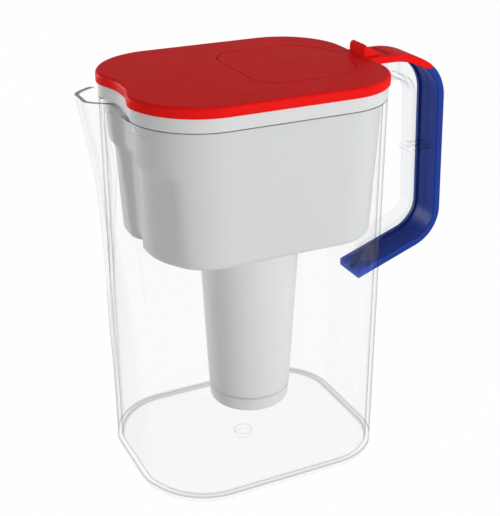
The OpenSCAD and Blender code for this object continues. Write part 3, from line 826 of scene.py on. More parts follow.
def ramp(tree, value, low, high, course="LINEAR"):
    """0 at one value and 1 at another, level beyond them."""
    node = tree.nodes.new("ShaderNodeMapRange")
    node.interpolation_type = course
    node.inputs["From Min"].default_value, node.inputs["From Max"].default_value = low, high
    tree.links.new(value, node.inputs["Value"])
    return node.outputs[0]


def moulded_group():
    """Moulded plastic: fine grain for height, slow drift of tone, and patches of gloss."""
    tree, given, out = group_tree(
        "moulded_surface",
        [
            ("Colour", "Color", (1, 1, 1, 1)),
            ("Tone drift", "Float", 0.05),
            ("Grain scale", "Float", 900.0),
            ("Gloss", "Float", 0.35),
            ("Gloss drift", "Float", 0.08),
        ],
        [("Colour", "Color"), ("Roughness", "Float"), ("Height", "Float")],
    )
    link = tree.links.new
    drift = maths(tree, "SUBTRACT", noise(tree, scale=14.0, detail=1.0), 0.5)
    level = maths(tree, "ADD", maths(tree, "MULTIPLY", drift, given.outputs["Tone drift"]), 1.0)
    shade = tree.nodes.new("ShaderNodeVectorMath")
    shade.operation = "SCALE"
    link(given.outputs["Colour"], shade.inputs[0])
    link(level, shade.inputs["Scale"])
    link(shade.outputs[0], out.inputs["Colour"])
    patches = maths(tree, "SUBTRACT", noise(tree, scale=55.0, detail=3.0), 0.5)
    gloss = maths(tree, "MULTIPLY", patches, given.outputs["Gloss drift"])
    link(maths(tree, "ADD", gloss, given.outputs["Gloss"]), out.inputs["Roughness"])
    link(noise(tree, given.outputs["Grain scale"]), out.inputs["Height"])
    return tree


def scuff_group():
    """Handling wear: fine lines in two directions that dull the gloss and lie a little under the surface."""
    tree, given, out = group_tree(
        "fine_scuffs",
        [("Roughness", "Float", 0.35), ("Height", "Float", 0.0), ("Amount", "Float", 0.15)],
        [("Roughness", "Float"), ("Height", "Float")],
    )
    along = noise(tree, scale=900.0, stretch=(1.0, 0.09, 0.5))
    across = noise(tree, scale=800.0, stretch=(0.12, 1.0, 0.6))
    lines = ramp(tree, maths(tree, "MINIMUM", along, across), 0.36, 0.28)
    worn = maths(tree, "MULTIPLY", lines, given.outputs["Amount"])
    tree.links.new(maths(tree, "ADD", given.outputs["Roughness"], worn), out.inputs["Roughness"])
    tree.links.new(maths(tree, "SUBTRACT", given.outputs["Height"], worn), out.inputs["Height"])
    return tree


def place_group(tree, name, build, **values):
    """Puts a shared group into a material with its own values. The group is built the first time."""
    node = tree.nodes.new("ShaderNodeGroup")
    node.node_tree = bpy.data.node_groups.get(name) or build()
    for title, value in values.items():
        node.inputs[title.replace("_", " ")].default_value = value
    return node


def blank_material(name):
    """A material with a Principled shader on its output."""
    material = bpy.data.materials.new("finish " + name)
    material.use_nodes = True
    tree = material.node_tree
    tree.nodes.clear()
    shader = tree.nodes.new("ShaderNodeBsdfPrincipled")
    output = tree.nodes.new("ShaderNodeOutputMaterial")
    tree.links.new(shader.outputs[0], output.inputs["Surface"])
    return material, tree, shader, output


def rough_up(tree, shader, height, depth):
    """Feeds a height to the shader's normal, this deep in millimetres."""
    bump = tree.nodes.new("ShaderNodeBump")
    bump.inputs["Distance"].default_value = depth * MM
    tree.links.new(height, bump.inputs["Height"])
    tree.links.new(bump.outputs[0], shader.inputs["Normal"])


def moulded(name, shade, gloss, drift, specular, depth=0.02, grain=900.0, joint=None, tip=None):
    """Opaque moulded plastic with grain, tone drift and fine scuffs.

    A dark line of painted shade lies in the groove at a given height, and towards the tip the shade is
    multiplied by the tip's factor: painted light.
    """
    material, tree, shader, _ = blank_material(name)
    face = place_group(
        tree,
        "moulded_surface",
        moulded_group,
        Colour=rgba(shade),
        Tone_drift=drift,
        Grain_scale=grain,
        Gloss=gloss,
        Gloss_drift=0.1,
    )
    worn = place_group(tree, "fine_scuffs", scuff_group, Amount=0.06)
    link = tree.links.new
    tone = face.outputs["Colour"]
    # Painted light: towards the tip the shade is drawn paler, as if lit.
    if tip is not None:
        painted_light = ramp(tree, split(tree, own_place(tree))["X"], *(place * MM for place in TIP_LIGHT_SPAN))
        tone = blended(tree, "MIX", painted_light, tone, rgba(shade, tip))
    # Painted shade: a dark line in the groove at this height.
    if joint is not None:
        off = off_by(tree, split(tree, own_place(tree))["Z"], joint * MM)
        dark = ramp(tree, off, *(half * MM for half in GROOVE_SHADE_LINE))
        tone = blended(tree, "MULTIPLY", dark, tone, rgba(GROOVE_SHADE_TINT))
    link(tone, shader.inputs["Base Color"])
    link(face.outputs["Roughness"], worn.inputs["Roughness"])
    link(face.outputs["Height"], worn.inputs["Height"])
    link(worn.outputs["Roughness"], shader.inputs["Roughness"])
    rough_up(tree, shader, worn.outputs["Height"], depth)
    shader.inputs["Specular IOR Level"].default_value = specular
    return material


def painted_shade_places(tree, s, facing):
    """Painted shade: masks of the places where thick or turned clear plastic is drawn grey, with their tints.

    They are the foot and the line round the floor, the handle core, the moulding mark and the lip's top.
    """
    coordinates = tree.nodes.new("ShaderNodeTexCoord")
    place, normal = (split(tree, coordinates.outputs[kind]) for kind in ("Object", "Normal"))
    both = partial(maths, tree, "MULTIPLY")

    def span(axis, base, ends):
        """0 at one place on an axis and 1 at another, both measured from a base in millimetres."""
        return ramp(tree, place[axis], (base + ends[0]) * MM, (base + ends[1]) * MM)

    foot = span("Z", s.floor_t, FOOT_SPAN)
    line = both(foot, span("Z", s.floor_t, FLOOR_LINE_SPAN))
    core = span("X", s.half_len, CORE_SPAN)
    turned = both(core, ramp(tree, facing, *CORE_TURN))
    squares = [both(place[axis], place[axis]) for axis in "XY"]
    radius = maths(tree, "SQRT", maths(tree, "ADD", *squares))
    circle = ramp(tree, off_by(tree, radius, s.gate_r * MM), *(half * MM for half in MARK_LINE))
    mark = both(circle, span("Z", s.floor_t, MARK_SPAN))
    top = both(span("Z", s.rim_h, LIP_SPAN), ramp(tree, normal["Z"], *LEVEL))
    lip = both(top, span("X", s.half_len, LIP_END))
    return [
        (foot, FOOT_SHADE_TINT),
        (line, FLOOR_LINE_SHADE_TINT),
        (core, CORE_SHADE_TINT),
        (turned, TURNED_CORE_SHADE_TINT),
        (mark, MARK_SHADE_TINT),
        (lip, LIP_SHADE_TINT),
    ]


def clear_plastic(s, colours):
    """Clear plastic: most light goes straight through it, tinted, and the rest is bent.

    Faces that turn away from the eye are drawn grey: painted shade that stands in for their dark edges.
    """
    material, tree, shader, output = blank_material("clear_plastic")
    link = tree.links.new
    shader.inputs["Transmission Weight"].default_value = 1.0
    shader.inputs["IOR"].default_value = CLEAR_IOR
    # Painted shade: faces turned edge-on are drawn in the grey edge colour.
    weight = tree.nodes.new("ShaderNodeLayerWeight")
    weight.inputs["Blend"].default_value = 0.5
    facing = weight.outputs["Facing"]
    edge = ramp(tree, facing, *EDGE_SHADE_TURN, "SMOOTHSTEP")
    tint = blended(tree, "MIX", edge, rgba(colours.clear), rgba(colours.clear_edge))
    # The places of painted shade darken the tint further.
    for mask, shade in painted_shade_places(tree, s, facing):
        tint = blended(tree, "MULTIPLY", mask, tint, rgba(shade))
    surface = {"Tone_drift": 0.01, "Grain_scale": 24.0, "Gloss": 0.004, "Gloss_drift": 0.008}
    face = place_group(tree, "moulded_surface", moulded_group, **surface)
    link(tint, face.inputs["Colour"])
    link(face.outputs["Colour"], shader.inputs["Base Color"])
    link(face.outputs["Roughness"], shader.inputs["Roughness"])
    rough_up(tree, shader, face.outputs["Height"], 0.03)
    through = tree.nodes.new("ShaderNodeBsdfTransparent")
    rays = tree.nodes.new("ShaderNodeLightPath")
    mix = tree.nodes.new("ShaderNodeMixShader")
    deep = maths(tree, "GREATER_THAN", rays.outputs["Ray Depth"], DEEP)
    plain = maths(tree, "MAXIMUM", rays.outputs["Is Shadow Ray"], deep)
    link(blended(tree, "MIX", plain, tint, rgba(THROUGH_TINT)), through.inputs[0])
    link(maths(tree, "MAXIMUM", plain, CLEAR_STRAIGHT), mix.inputs[0])
    link(shader.outputs[0], mix.inputs[1])
    link(through.outputs[0], mix.inputs[2])
    link(mix.outputs[0], output.inputs["Surface"])
    return material


def grains(name, shade, dark, scale, depth, gloss, spread=1.0):
    """A packed bed: cells between two shades, each a rounded bump. The dark one is a share of the other."""
    material, tree, shader, _ = blank_material(name)
    link = tree.links.new
    cells = tree.nodes.new("ShaderNodeTexVoronoi")
    cells.inputs["Scale"].default_value = scale
    cells.inputs["Randomness"].default_value = spread
    link(own_place(tree), cells.inputs["Vector"])
    pick = tree.nodes.new("ShaderNodeSeparateColor")
    link(cells.outputs["Color"], pick.inputs[0])
    link(blended(tree, "MIX", pick.outputs[0], rgba(shade), rgba(shade, dark)), shader.inputs["Base Color"])
    link(maths(tree, "ADD", maths(tree, "MULTIPLY", pick.outputs[1], 0.2), gloss), shader.inputs["Roughness"])
    rough_up(tree, shader, maths(tree, "SUBTRACT", 1.0, cells.outputs["Distance"]), depth)
    return material


def wire_mesh(name, shade, pitch):
    """Woven screen: two crossed sine waves for the wires, dark between them."""
    material, tree, shader, _ = blank_material(name)
    link = tree.links.new
    place = split(tree, own_place(tree))
    turns = 2 * math.pi / (pitch * MM)
    waves = [maths(tree, "SINE", maths(tree, "MULTIPLY", place[axis], turns)) for axis in "XY"]
    wires = maths(tree, "MAXIMUM", *waves)
    edge = ramp(tree, wires, -0.1, 0.5)
    link(blended(tree, "MIX", edge, rgba(shade, 0.25), rgba(shade)), shader.inputs["Base Color"])
    link(maths(tree, "ADD", maths(tree, "MULTIPLY", edge, -0.25), 0.6), shader.inputs["Roughness"])
    rough_up(tree, shader, wires, 0.08)
    return material


def felted(name, shade):
    """Felt: short fibres in two directions and a soft sheen."""
    material, tree, shader, _ = blank_material(name)
    link = tree.links.new
    along = noise(tree, scale=700.0, detail=3.0, stretch=(1.0, 0.15, 1.0))
    across = noise(tree, scale=700.0, detail=3.0, stretch=(0.15, 1.0, 1.0))
    fibres = maths(tree, "ADD", along, across)
    tone = blended(tree, "MIX", maths(tree, "MULTIPLY", fibres, 0.5), rgba(shade, 0.8), rgba(shade))
    link(tone, shader.inputs["Base Color"])
    link(maths(tree, "ADD", maths(tree, "MULTIPLY", fibres, 0.05), 0.85), shader.inputs["Roughness"])
    shader.inputs["Sheen Weight"].default_value = 0.3
    rough_up(tree, shader, fibres, 0.25)
    return material


def brushed_steel(name, shade):
    """Drawn steel: fine lines along the pin."""
    material, tree, shader, _ = blank_material(name)
    link = tree.links.new
    lines = noise(tree, scale=1500.0, stretch=(1.0, 0.04, 1.0))
    link(blended(tree, "MIX", lines, rgba(shade, 0.85), rgba(shade)), shader.inputs["Base Color"])
    link(maths(tree, "ADD", maths(tree, "MULTIPLY", lines, 0.2), 0.18), shader.inputs["Roughness"])
    shader.inputs["Metallic"].default_value = 1.0
    rough_up(tree, shader, lines, 0.01)
    return material


def material_of(context, name):
    """The finish of this name, made the first time it is asked for."""
    found = bpy.data.materials.get("finish " + name)
    if found:
        return found
    c, s = context.scene.pitcher_finishes, sizes(context.scene)
    makers = {
        "clear_plastic": partial(clear_plastic, s, c),
        "red_plastic": partial(moulded, name, c.red, gloss=0.4, drift=0.04, specular=0.02, depth=0.012),
        # The grip's end inside the body is drawn paler: painted light.
        "blue_plastic": partial(
            moulded, name, c.blue, gloss=0.34, drift=0.05, specular=0.1, depth=0.012, tip=1.7
        ),
        "grey_plastic": partial(moulded, name, c.grey, gloss=0.4, drift=0.02, specular=0.15, depth=0.006),
        # A line of painted shade marks the groove between the cup and the outlet cap.
        "white_plastic": partial(
            moulded, name, c.white, gloss=0.3, drift=0.02, specular=0.3, depth=0.006, joint=s.cup_z
        ),
        "inlet_plastic": partial(moulded, name, c.inlet, gloss=0.35, drift=0.05, specular=0.3),
        "seal_rubber": partial(
            moulded, name, c.rubber, gloss=0.62, drift=0.1, specular=0.3, depth=0.04, grain=1500
        ),
        "pin_steel": partial(brushed_steel, name, c.steel),
        "screen_mesh": partial(wire_mesh, name, c.mesh, pitch=0.9),
        "carbon": partial(grains, name, c.carbon, dark=0.35, scale=900.0, depth=0.5, gloss=0.5),
        "felt": partial(felted, name, c.felt),
        "resin": partial(grains, name, c.resin, dark=0.62, scale=1300.0, depth=0.35, gloss=0.25, spread=0.6),
    }
    return makers[name]()


# ---- the clear body ------------------------------------------------------------------------


def lip_rise(s, y):
    """How far the rim stands up at y: the lip's rise across the mouth, smooth at its two ends."""
    half, blend = s.spout_mouth / 2, s.lip_blend
    return np.where(END < 0, s.spout_rise * (1 - smooth(np.abs(y), half - blend, half + blend)), 0.0)


def jug_rings(s):
    """Rings from the foot's middle up the outside, over the rim and down the inside to the floor's middle.

    Each ring has an inset and a base height. Near the top the rings rise towards the lip, by a square of the
    height above the place where they start to rise.
    """
    turn, soft = quarter_turn(FILLET_RINGS), quarter_turn()
    r, e, rim = s.foot_fillet, s.rim_edge, s.rim_h
    outer = np.linspace(r, rim - e, WALL_RINGS)[1:-1]
    inner = np.linspace(rim - e, s.floor_t + r, WALL_RINGS)[1:-1]
    inset = np.concatenate(
        [
            r * (1 - np.sin(turn)),
            0 * outer,
            e * (1 - np.cos(soft)),
            s.body_wall - e * (1 - np.cos(soft[::-1])),
            s.body_wall + 0 * inner,
            s.body_wall + r * (1 - np.sin(turn[::-1])),
        ]
    )[:, None]
    base = np.concatenate(
        [
            r * (1 - np.cos(turn)),
            outer,
            rim - e + e * np.sin(soft),
            rim - e + e * np.sin(soft[::-1]),
            inner,
            s.floor_t + r * (1 - np.cos(turn[::-1])),
        ]
    )[:, None]
    _, y = body_outline(s, inset)
    lift_from = s.waist_z - s.lip_root
    z = base + lip_rise(s, y) * np.clip((base - lift_from) / (rim - lift_from), 0, 1) ** 2
    x, y = jug_outline(s, z, inset)
    walls = np.stack([x, y, z], axis=-1)
    foot = (walls[0, :, 0], walls[0, :, 1])
    middle = (0 * foot[0], 0 * foot[1])
    under = [ring(between(middle, foot, share), 0.0) for share in (0.2, 0.5, 0.8, 0.97)]
    return np.concatenate([np.stack(under), walls, floor_rings(s, walls[-1])])


def floor_rings(s, edge):
    """Rings from the floor's edge in to its middle.

    The moulding mark is a ridge, a Gaussian of the radius, with a smooth dimple inside it.
    """
    plan = (edge[:, 0], edge[:, 1])
    hub = circle_outline(plan, 2 * s.gate_r)
    rings = [ring(between(hub, plan, share), s.floor_t) for share in (0.97, 0.8, 0.6, 0.4, 0.2)]
    spans = [(2.0, 1.25, 3), (1.2, 0.8, 9), (0.7, 0.1, 12)]  # two radii, in radii of the mark, and rings
    radii = np.concatenate([np.linspace(*span) for span in spans]) * s.gate_r
    ridge = s.mark_h * np.exp(-(((radii - s.gate_r) / s.mark_w) ** 2))
    dimple = -s.mark_h * (1 - smooth(radii, *s.dimple_r))
    for radius, height in zip(radii, ridge + dimple):
        rings.append(ring(circle_outline(plan, radius), s.floor_t + height))
    return np.stack(rings)


def grip_line(s):
    """The outer line of the lid's arm and the grip, from the lid round to the wall."""
    return bent(
        [
            (s.half_len - s.arm_root, s.lid_top),
            (s.half_len + s.arm_run, s.lid_top),
            (s.half_len + s.grip_top_out, s.lid_top - s.arm_fall),
            (s.half_len + s.grip_low_out, s.grip_low_z),
            (s.grip_wall_x, s.grip_low_z - s.blade_drop),
        ],
        s.grip_bends,
    )


def finger_line(s):
    """The edge of the finger gap, which is the clear bar's inner face."""
    outer = s.half_len + s.finger_gap
    return bent(
        [
            (s.core_x, s.finger_top_z),
            (outer, s.finger_top_z),
            (outer + s.bar_lean, s.finger_low_z),
            (s.core_x, s.finger_low_z - s.finger_fall),
        ],
        s.finger_bends,
    )


def web_line(s):
    """The clear web's outer edge, which lies in the grip's channel."""
    return beside(grip_line(s), s.grip_t - s.grip_channel + s.seam_gap)


def crossing(line, axis, value):
    """The first point where a line reaches a value on one axis."""
    a, b = line[:-1], line[1:]
    hit = np.argmax((a[:, axis] - value) * (b[:, axis] - value) <= 0)
    share = (value - a[hit, axis]) / (b[hit, axis] - a[hit, axis])
    return a[hit] + share * (b[hit] - a[hit])


def band(width, near, far, edge):
    """A band's cross-section in depth and y, with rounded edges."""
    half = width / 2
    return rounded([(near, -half), (near, half), (far, half), (far, -half)], [edge] * 4)


def channelled_band(s):
    """The grip's cross-section: a band with a channel in its far face."""
    half, step = s.grip_wid / 2, s.grip_wid / 2 - s.grip_rim
    far, low = s.grip_t, s.grip_t - s.grip_channel
    channel = [(far, step), (low, step), (low, -step), (far, -step)]
    corners = [(0, -half), (0, half), (far, half), *channel, (far, -half)]
    return rounded(corners, [s.grip_edge] * 3 + [s.channel_edge] * 4 + [s.grip_edge])


def core_outline(s):
    """The clear web's outline: the grip's inner line, the wall and the finger gap."""
    seam = s.seam_z - s.seam_gap / 2
    upper = beside(grip_line(s), s.grip_t + s.arm_gap)
    lower = web_line(s)
    neck_x = s.half_len + s.lid_overhang + s.drop_gap
    top = upper[(upper[:, 0] > neck_x) & (upper[:, 1] > seam) & (upper[:, 0] < s.half_len + s.grip_top_out)]
    back = lower[(lower[:, 0] > s.core_x) & (lower[:, 1] < seam)]
    neck = s.rim_h - s.rest_gap
    start = [(neck_x, neck), (neck_x, s.lid_top - s.grip_t - s.arm_gap)]
    seam_ends = [crossing(upper, 1, seam), crossing(lower, 1, seam)]
    end, before = lower[-1], lower[-2]
    foot = [end + (end - before) * (s.core_x - end[0]) / (end - before)[0]]
    return np.vstack([start, top, seam_ends, back, foot, finger_line(s)[::-1], [(s.core_x, neck)]])


def cross_rib(s):
    """The rib between the clear bar and the grip."""
    z, half, line = s.grip_low_z + s.rib_rise, s.bar_wid / 2, web_line(s)
    reach = crossing(line[len(line) // 2 :], 1, z)[0]
    near = (s.half_len + s.finger_gap + s.rib_root, -half, z - s.bar_t / 2)
    return boxed(near, (reach, half, z + s.bar_t / 2), s.beam_edge)


def top_post(s):
    """The post between the top of the finger gap and the arm."""
    x, half = s.half_len + s.finger_gap - s.post_back, s.bar_wid / 2
    far = (x + s.post_ratio * s.bar_t, half, s.lid_top - s.grip_t - s.arm_gap)
    return boxed((x, -half, s.finger_top_z + s.post_root), far, s.beam_edge)


def build_body(context):
    """The clear body: a lofted shell joined to its handle core."""
    s = sizes(context.scene)
    jug = solid("jug_body", lofted(jug_rings(s)))
    bar = lofted(swept(finger_line(s), band(s.bar_wid, -s.bar_t, 0, s.bar_edge)), "face")
    for part in (bar, slab(core_outline(s), s.web_t), cross_rib(s), top_post(s)):
        combined(jug, part, "UNION")
    finished(context, jug, "clear_plastic", "pitcher", "jug")


def build_grip(context):
    """The blue grip: a channelled band carried along its line, cut square at the seam and at the wall."""
    s = sizes(context.scene)
    line = grip_line(s)
    seam = s.seam_z - s.seam_gap / 2
    path = np.vstack([[crossing(line, 1, seam)], line[line[:, 1] < seam]])
    rings = swept(path, channelled_band(s))
    rings = slid(rings, 0, 1, 2, seam)
    rings = slid(rings, -1, -2, 0, s.grip_wall_x)
    grip = solid("grip_blade", lofted(rings, "face"))
    finished(context, grip, "blue_plastic", "pitcher", "handle_grip")


# ---- the reservoir -------------------------------------------------------------------------


def tub_rings(s):
    """Rings over the floor, up the inside, over the collar, down the outside and round the port's boss."""
    r, inner_r, e = s.tub_fillet, s.tub_fillet - s.tub_wall, s.tub_edge
    turn, soft = quarter_turn(FILLET_RINGS), quarter_turn()
    mouth, collar = partial(tub_outline, s, s.rim_h), partial(notched, s)
    floor_plan = tub_outline(s, s.tub_floor_z, s.tub_wall + inner_r)
    port = circle_outline(floor_plan, s.port_r + s.port_edge, s.filter_x)
    rings = [ring(circle_outline(floor_plan, s.port_r, s.filter_x), s.tub_floor_z - s.port_edge)]
    rings += [ring(between(port, floor_plan, share), s.tub_floor_z) for share in (0, 0.03, 0.4, 0.75, 0.97)]
    for a in turn:
        z = s.tub_floor_z + inner_r * (1 - np.cos(a))
        rings.append(ring(tub_outline(s, z, s.tub_wall + inner_r * (1 - np.sin(a))), z))
    for z in np.linspace(s.tub_floor_z + inner_r, s.rim_h, TUB_RINGS)[1:]:
        rings.append(ring(tub_outline(s, z, s.tub_wall), z))
    rings += edge_rings(mouth, s.tub_wall, s.collar_top, -e, e, soft)
    rings += edge_rings(collar, 0.0, s.collar_top, e, e, soft[::-1])
    rings += edge_rings(collar, 0.0, s.collar_z, e, -e, soft)
    rings.append(ring(mouth(0.0), s.collar_z))
    top = s.tub_z + r
    for z in np.linspace(s.rim_h, top, WALL_RINGS)[1:-1]:
        plan = tub_outline(s, z, 0.0)
        lift = s.channel_lift * max(0.0, 1 - (z - top) / s.lift_height)
        rings.append(ring(plan, z + lifted(s, plan, lift)))
    for a in turn[::-1]:
        z = s.tub_z + r * (1 - np.cos(a))
        plan = tub_outline(s, z, r * (1 - np.sin(a)))
        rings.append(ring(plan, z + lifted(s, plan, s.channel_lift * np.sin(a))))
    return np.stack(rings + boss_rings(s))


def boss_rings(s):
    """Rings under the tub's floor: in to the port's boss, round its lower edge and back to the port."""
    base = tub_outline(s, s.tub_z, s.tub_fillet)
    low = s.tub_z - s.boss_h

    def circle(radius):
        return circle_outline(base, radius, s.filter_x)

    rings = [ring(between(base, circle(s.boss_r), share), s.tub_z) for share in (0.03, 0.5, 0.97, 1.0)]
    for a in quarter_turn():
        plan = circle(s.boss_r - s.boss_edge * (1 - np.cos(a)))
        rings.append(ring(plan, low + s.boss_edge - s.boss_edge * np.sin(a)))
    rings.append(ring(circle(s.port_r + s.port_edge), low))
    rings.append(ring(circle(s.port_r), low + s.port_edge))
    return rings


def lifted(s, plan, lift):
    """The rise of the bottom edge under the pouring channel: a bell of y."""
    return np.where(END < 0, lift * bell(plan[1], s.lift_flat, s.lift_foot), 0.0)


def lug_surface(s, side):
    """A snap lug: a round bead along the tub's corner, thinning to a point at its ends.

    The bead's radius is r sqrt(1 - t^8), with t from -1 to 1 along it.
    """
    taper = s.tub_taper * s.lug_drop / s.tub_depth
    corner_r = s.front_corner - s.body_wall - s.tub_gap - s.lug_r + s.lug_out - taper
    spread = s.lug_len / 2 / corner_r
    share = np.linspace(-1, 1, 33)[1:-1, None]
    around = np.linspace(0, 2 * np.pi, 20, endpoint=False)[None, :]
    angle = side * (np.radians(s.lug_angle) - spread * share)
    thick = s.lug_r * np.sqrt(np.clip(1 - np.abs(share) ** 8, 0, 1))
    out = corner_r + thick * np.cos(around)
    x = s.front_corner - s.half_len + out * np.cos(angle)
    y = side * (s.half_wid - s.front_corner) + out * np.sin(angle)
    z = s.rim_h - s.lug_drop - share + thick * np.sin(around)
    return lofted(np.stack([x, y, z], axis=-1))


def build_tub(context):
    """The grey reservoir with its two snap lugs."""
    s = sizes(context.scene)
    tub = solid("reservoir_tub", lofted(tub_rings(s), "loop"))
    for side in (1, -1):
        combined(tub, lug_surface(s, side), "UNION")
    finished(context, tub, "grey_plastic", "tub", "reservoir")


# ---- the lid and its door ------------------------------------------------------------------


def lid_rings(s):
    """Rings from the door's ledge over the top, round the rim and along the underside back to the ledge."""
    e, slant = s.lid_small_edge, s.ledge_edge
    soft, crest = quarter_turn(), quarter_turn(CREST_RINGS)
    panel, rim, plug = (partial(outline, s) for outline in (door_outline, notched, plug_outline))
    room = -s.drop_gap
    ledge_z, ledge_low, plug_z = s.door_z - s.rest_gap, s.door_z - s.lid_t, s.lid_z - s.plug_depth
    plug_inset = s.body_wall + s.tub_gap + s.tub_wall + s.drop_gap
    rings = [
        ring(panel(s.ledge_w), ledge_low),
        ring(panel(s.ledge_w), ledge_z - slant),
        ring(panel(s.ledge_w - slant), ledge_z),
        ring(panel(room), ledge_z),
    ]
    rings += edge_rings(panel, room, s.lid_top, -e, e, soft)
    hole, edge = panel(room - e), rim(s.lid_edge - s.lid_overhang)
    rings += [ring(between(hole, edge, share), s.lid_top) for share in (0.02, 0.35, 0.7, 0.98)]
    rings += edge_rings(rim, -s.lid_overhang, s.lid_top, s.lid_edge, s.lid_edge, crest[::-1])
    rings += edge_rings(rim, -s.lid_overhang, s.lid_z, e, -e, soft)
    rings += [
        ring(rim(s.skirt_t - s.lid_overhang), s.lid_z),
        ring(rim(s.skirt_t - s.lid_overhang), s.door_z),
        ring(plug(plug_inset), s.door_z),
    ]
    rings += edge_rings(plug, plug_inset, plug_z, e, -e, soft)
    rings += [
        ring(plug(plug_inset + s.plug_t), plug_z),
        ring(plug(plug_inset + s.plug_t), s.door_z),
        ring(panel(-s.ledge_w), s.door_z),
        ring(panel(-s.ledge_w), ledge_low),
    ]
    return np.stack(rings)


def arm_rings(s):
    """The arm: a plain band carried along the first part of the handle's line, to a little below the seam."""
    line = grip_line(s)
    path = line[line[:, 1] > s.seam_z - 2 * s.grip_t]
    return swept(path, band(s.grip_wid, 0, s.grip_t, s.grip_edge))


def lid_cutters(s):
    """What is cut from the lid: the arm's lower end, the strip's slot, the barrel's room, the pin's hole."""
    seam = s.seam_z + s.seam_gap / 2
    half, back = s.tab_wid / 2 + s.drop_gap, s.barrel_r + 2 * s.drop_gap
    top = s.lid_top + s.lid_h
    arm_low = (s.half_len + s.arm_run, -s.grip_wid, seam - 4 * s.grip_t)
    slot_low = (s.door_x, -half, s.door_z - s.rest_gap)
    room_low = (s.hinge_x - back, -half, s.lid_z - s.plug_depth - s.cut)
    return [
        boxed(arm_low, (s.half_len + 2.5 * s.arm_run, s.grip_wid, seam)),
        boxed(slot_low, (s.hinge_x, half, top)),
        boxed(room_low, (s.hinge_x + back, half, top)),
        axle(s, s.pin_r + s.ear_gap, (s.grip_wid - s.skirt_t + s.rest_gap) / 2),
    ]


def build_lid(context):
    """The red lid: a ring-shaped loft joined to its arm, with room for the door's strip and hinge cut out."""
    s = sizes(context.scene)
    lid = solid("lid_cover", lofted(lid_rings(s), "loop"))
    combined(lid, lofted(arm_rings(s), "face"), "UNION")
    for cutter in lid_cutters(s):
        combined(lid, cutter, "DIFFERENCE")
    finished(context, lid, "red_plastic", "cover", "lid")


def panel_rings(s):
    """The oval panel, with a soft upper edge."""
    panel, slant = partial(door_outline, s), s.ledge_edge
    rings = [ring(panel(inset), s.door_z) for inset in (12, 1, slant)]
    rings.append(ring(panel(0.0), s.door_z + slant))
    rings += edge_rings(panel, 0.0, s.lid_top, s.panel_edge, s.panel_edge, quarter_turn())
    rings += [ring(panel(inset), s.lid_top) for inset in (0.9, 3, 8, 14)]
    return np.stack(rings)


def tab_rings(s):
    """The strip and the thumb tab: cross-sections in y and z carried along x.

    The tab rises in a steep face, rounds over its crest and falls as a ramp to the hinge. The ramp is a
    straight line, less a half wave for its sag.
    """
    crest, e, small = s.lid_top + s.tab_h, s.crest_edge, s.strip_edge
    ramp_start = s.tab_x + e + s.crest_flat
    stations = [(s.door_x + s.door_len / 2 - s.strip_root, s.lid_top, small), (s.tab_x, s.lid_top, small)]
    for a in quarter_turn()[::-1]:
        stations.append((s.tab_x + e * (1 - np.sin(a)), crest - e * (1 - np.cos(a)), s.tab_round))
    for share in np.linspace(0, 1, 16):
        x = ramp_start + share * (s.hinge_x - s.barrel_r - s.ramp_gap - s.tab_x - e - s.crest_flat)
        top = crest - share * (crest - s.lid_top) - s.ramp_sag * np.sin(np.pi * share)
        stations.append((x, top, s.tab_round * (1 - share) + small * share))
    reach = math.sqrt((s.barrel_r + 2 * s.drop_gap) ** 2 - s.lid_t**2) - small
    stations += [(s.hinge_x + reach - small, s.lid_top, small), (s.hinge_x + reach, s.lid_top - small, small)]
    half = s.tab_wid / 2
    rings = []
    for x, top, corner in stations:
        corners = [(-half, s.door_z), (half, s.door_z), (half, top), (-half, top)]
        outline = rounded(corners, [s.strip_low_edge] * 2 + [corner] * 2, 8)
        rings.append(np.stack([np.full(len(outline), x), outline[:, 0], outline[:, 1]], axis=-1))
    return np.stack(rings)


def build_door(context):
    """The flip door: the oval panel, its strip and thumb tab, and the hinge's barrel."""
    s = sizes(context.scene)
    half = s.tab_wid / 2
    door = solid("door_panel", lofted(panel_rings(s)))
    combined(door, lofted(tab_rings(s), "face"), "UNION")
    combined(door, axle(s, s.barrel_r, half, s.barrel_edge), "UNION")
    combined(door, axle(s, s.pin_r + s.pin_gap, half + s.cut), "DIFFERENCE")
    finished(context, door, "red_plastic", "door", "flip_door")


# ---- the filter ----------------------------------------------------------------------------


def cup_r(s, z):
    """The cup's outer radius at a height, which changes evenly from its foot to the flange."""
    return s.cup_top_r - (s.cup_top_r - s.cup_low_r) / (s.flange_z - s.cup_z) * (s.flange_z - z)


def build_cup(context, s):
    """The cup's shell, with its flange and the lip that carries the outlet screen."""
    lip_r, lip_z = s.cup_low_r - s.cup_wall - s.lip_w, s.screen_z - s.rest_gap
    top = s.flange_z + s.flange_t
    profile = rounded(
        [
            (lip_r, s.cup_z),
            (cup_r(s, s.cup_z), s.cup_z),
            (s.cup_top_r, s.flange_z),
            (s.flange_r, s.flange_z),
            (s.flange_r, top),
            (s.cup_top_r, top),
            (cup_r(s, s.inlet_z) - s.cup_wall, s.inlet_z),
            (cup_r(s, s.screen_z) - s.cup_wall, lip_z),
            (lip_r, lip_z),
        ],
        [0.15, 0.7, 0, 0.4, 0.6, 0.4, 0, 0, 0.15],
    )
    cup = solid("filter_cup_shell", lathed(s, profile))
    finished(context, cup, "white_plastic", "filter", "filter_cup")


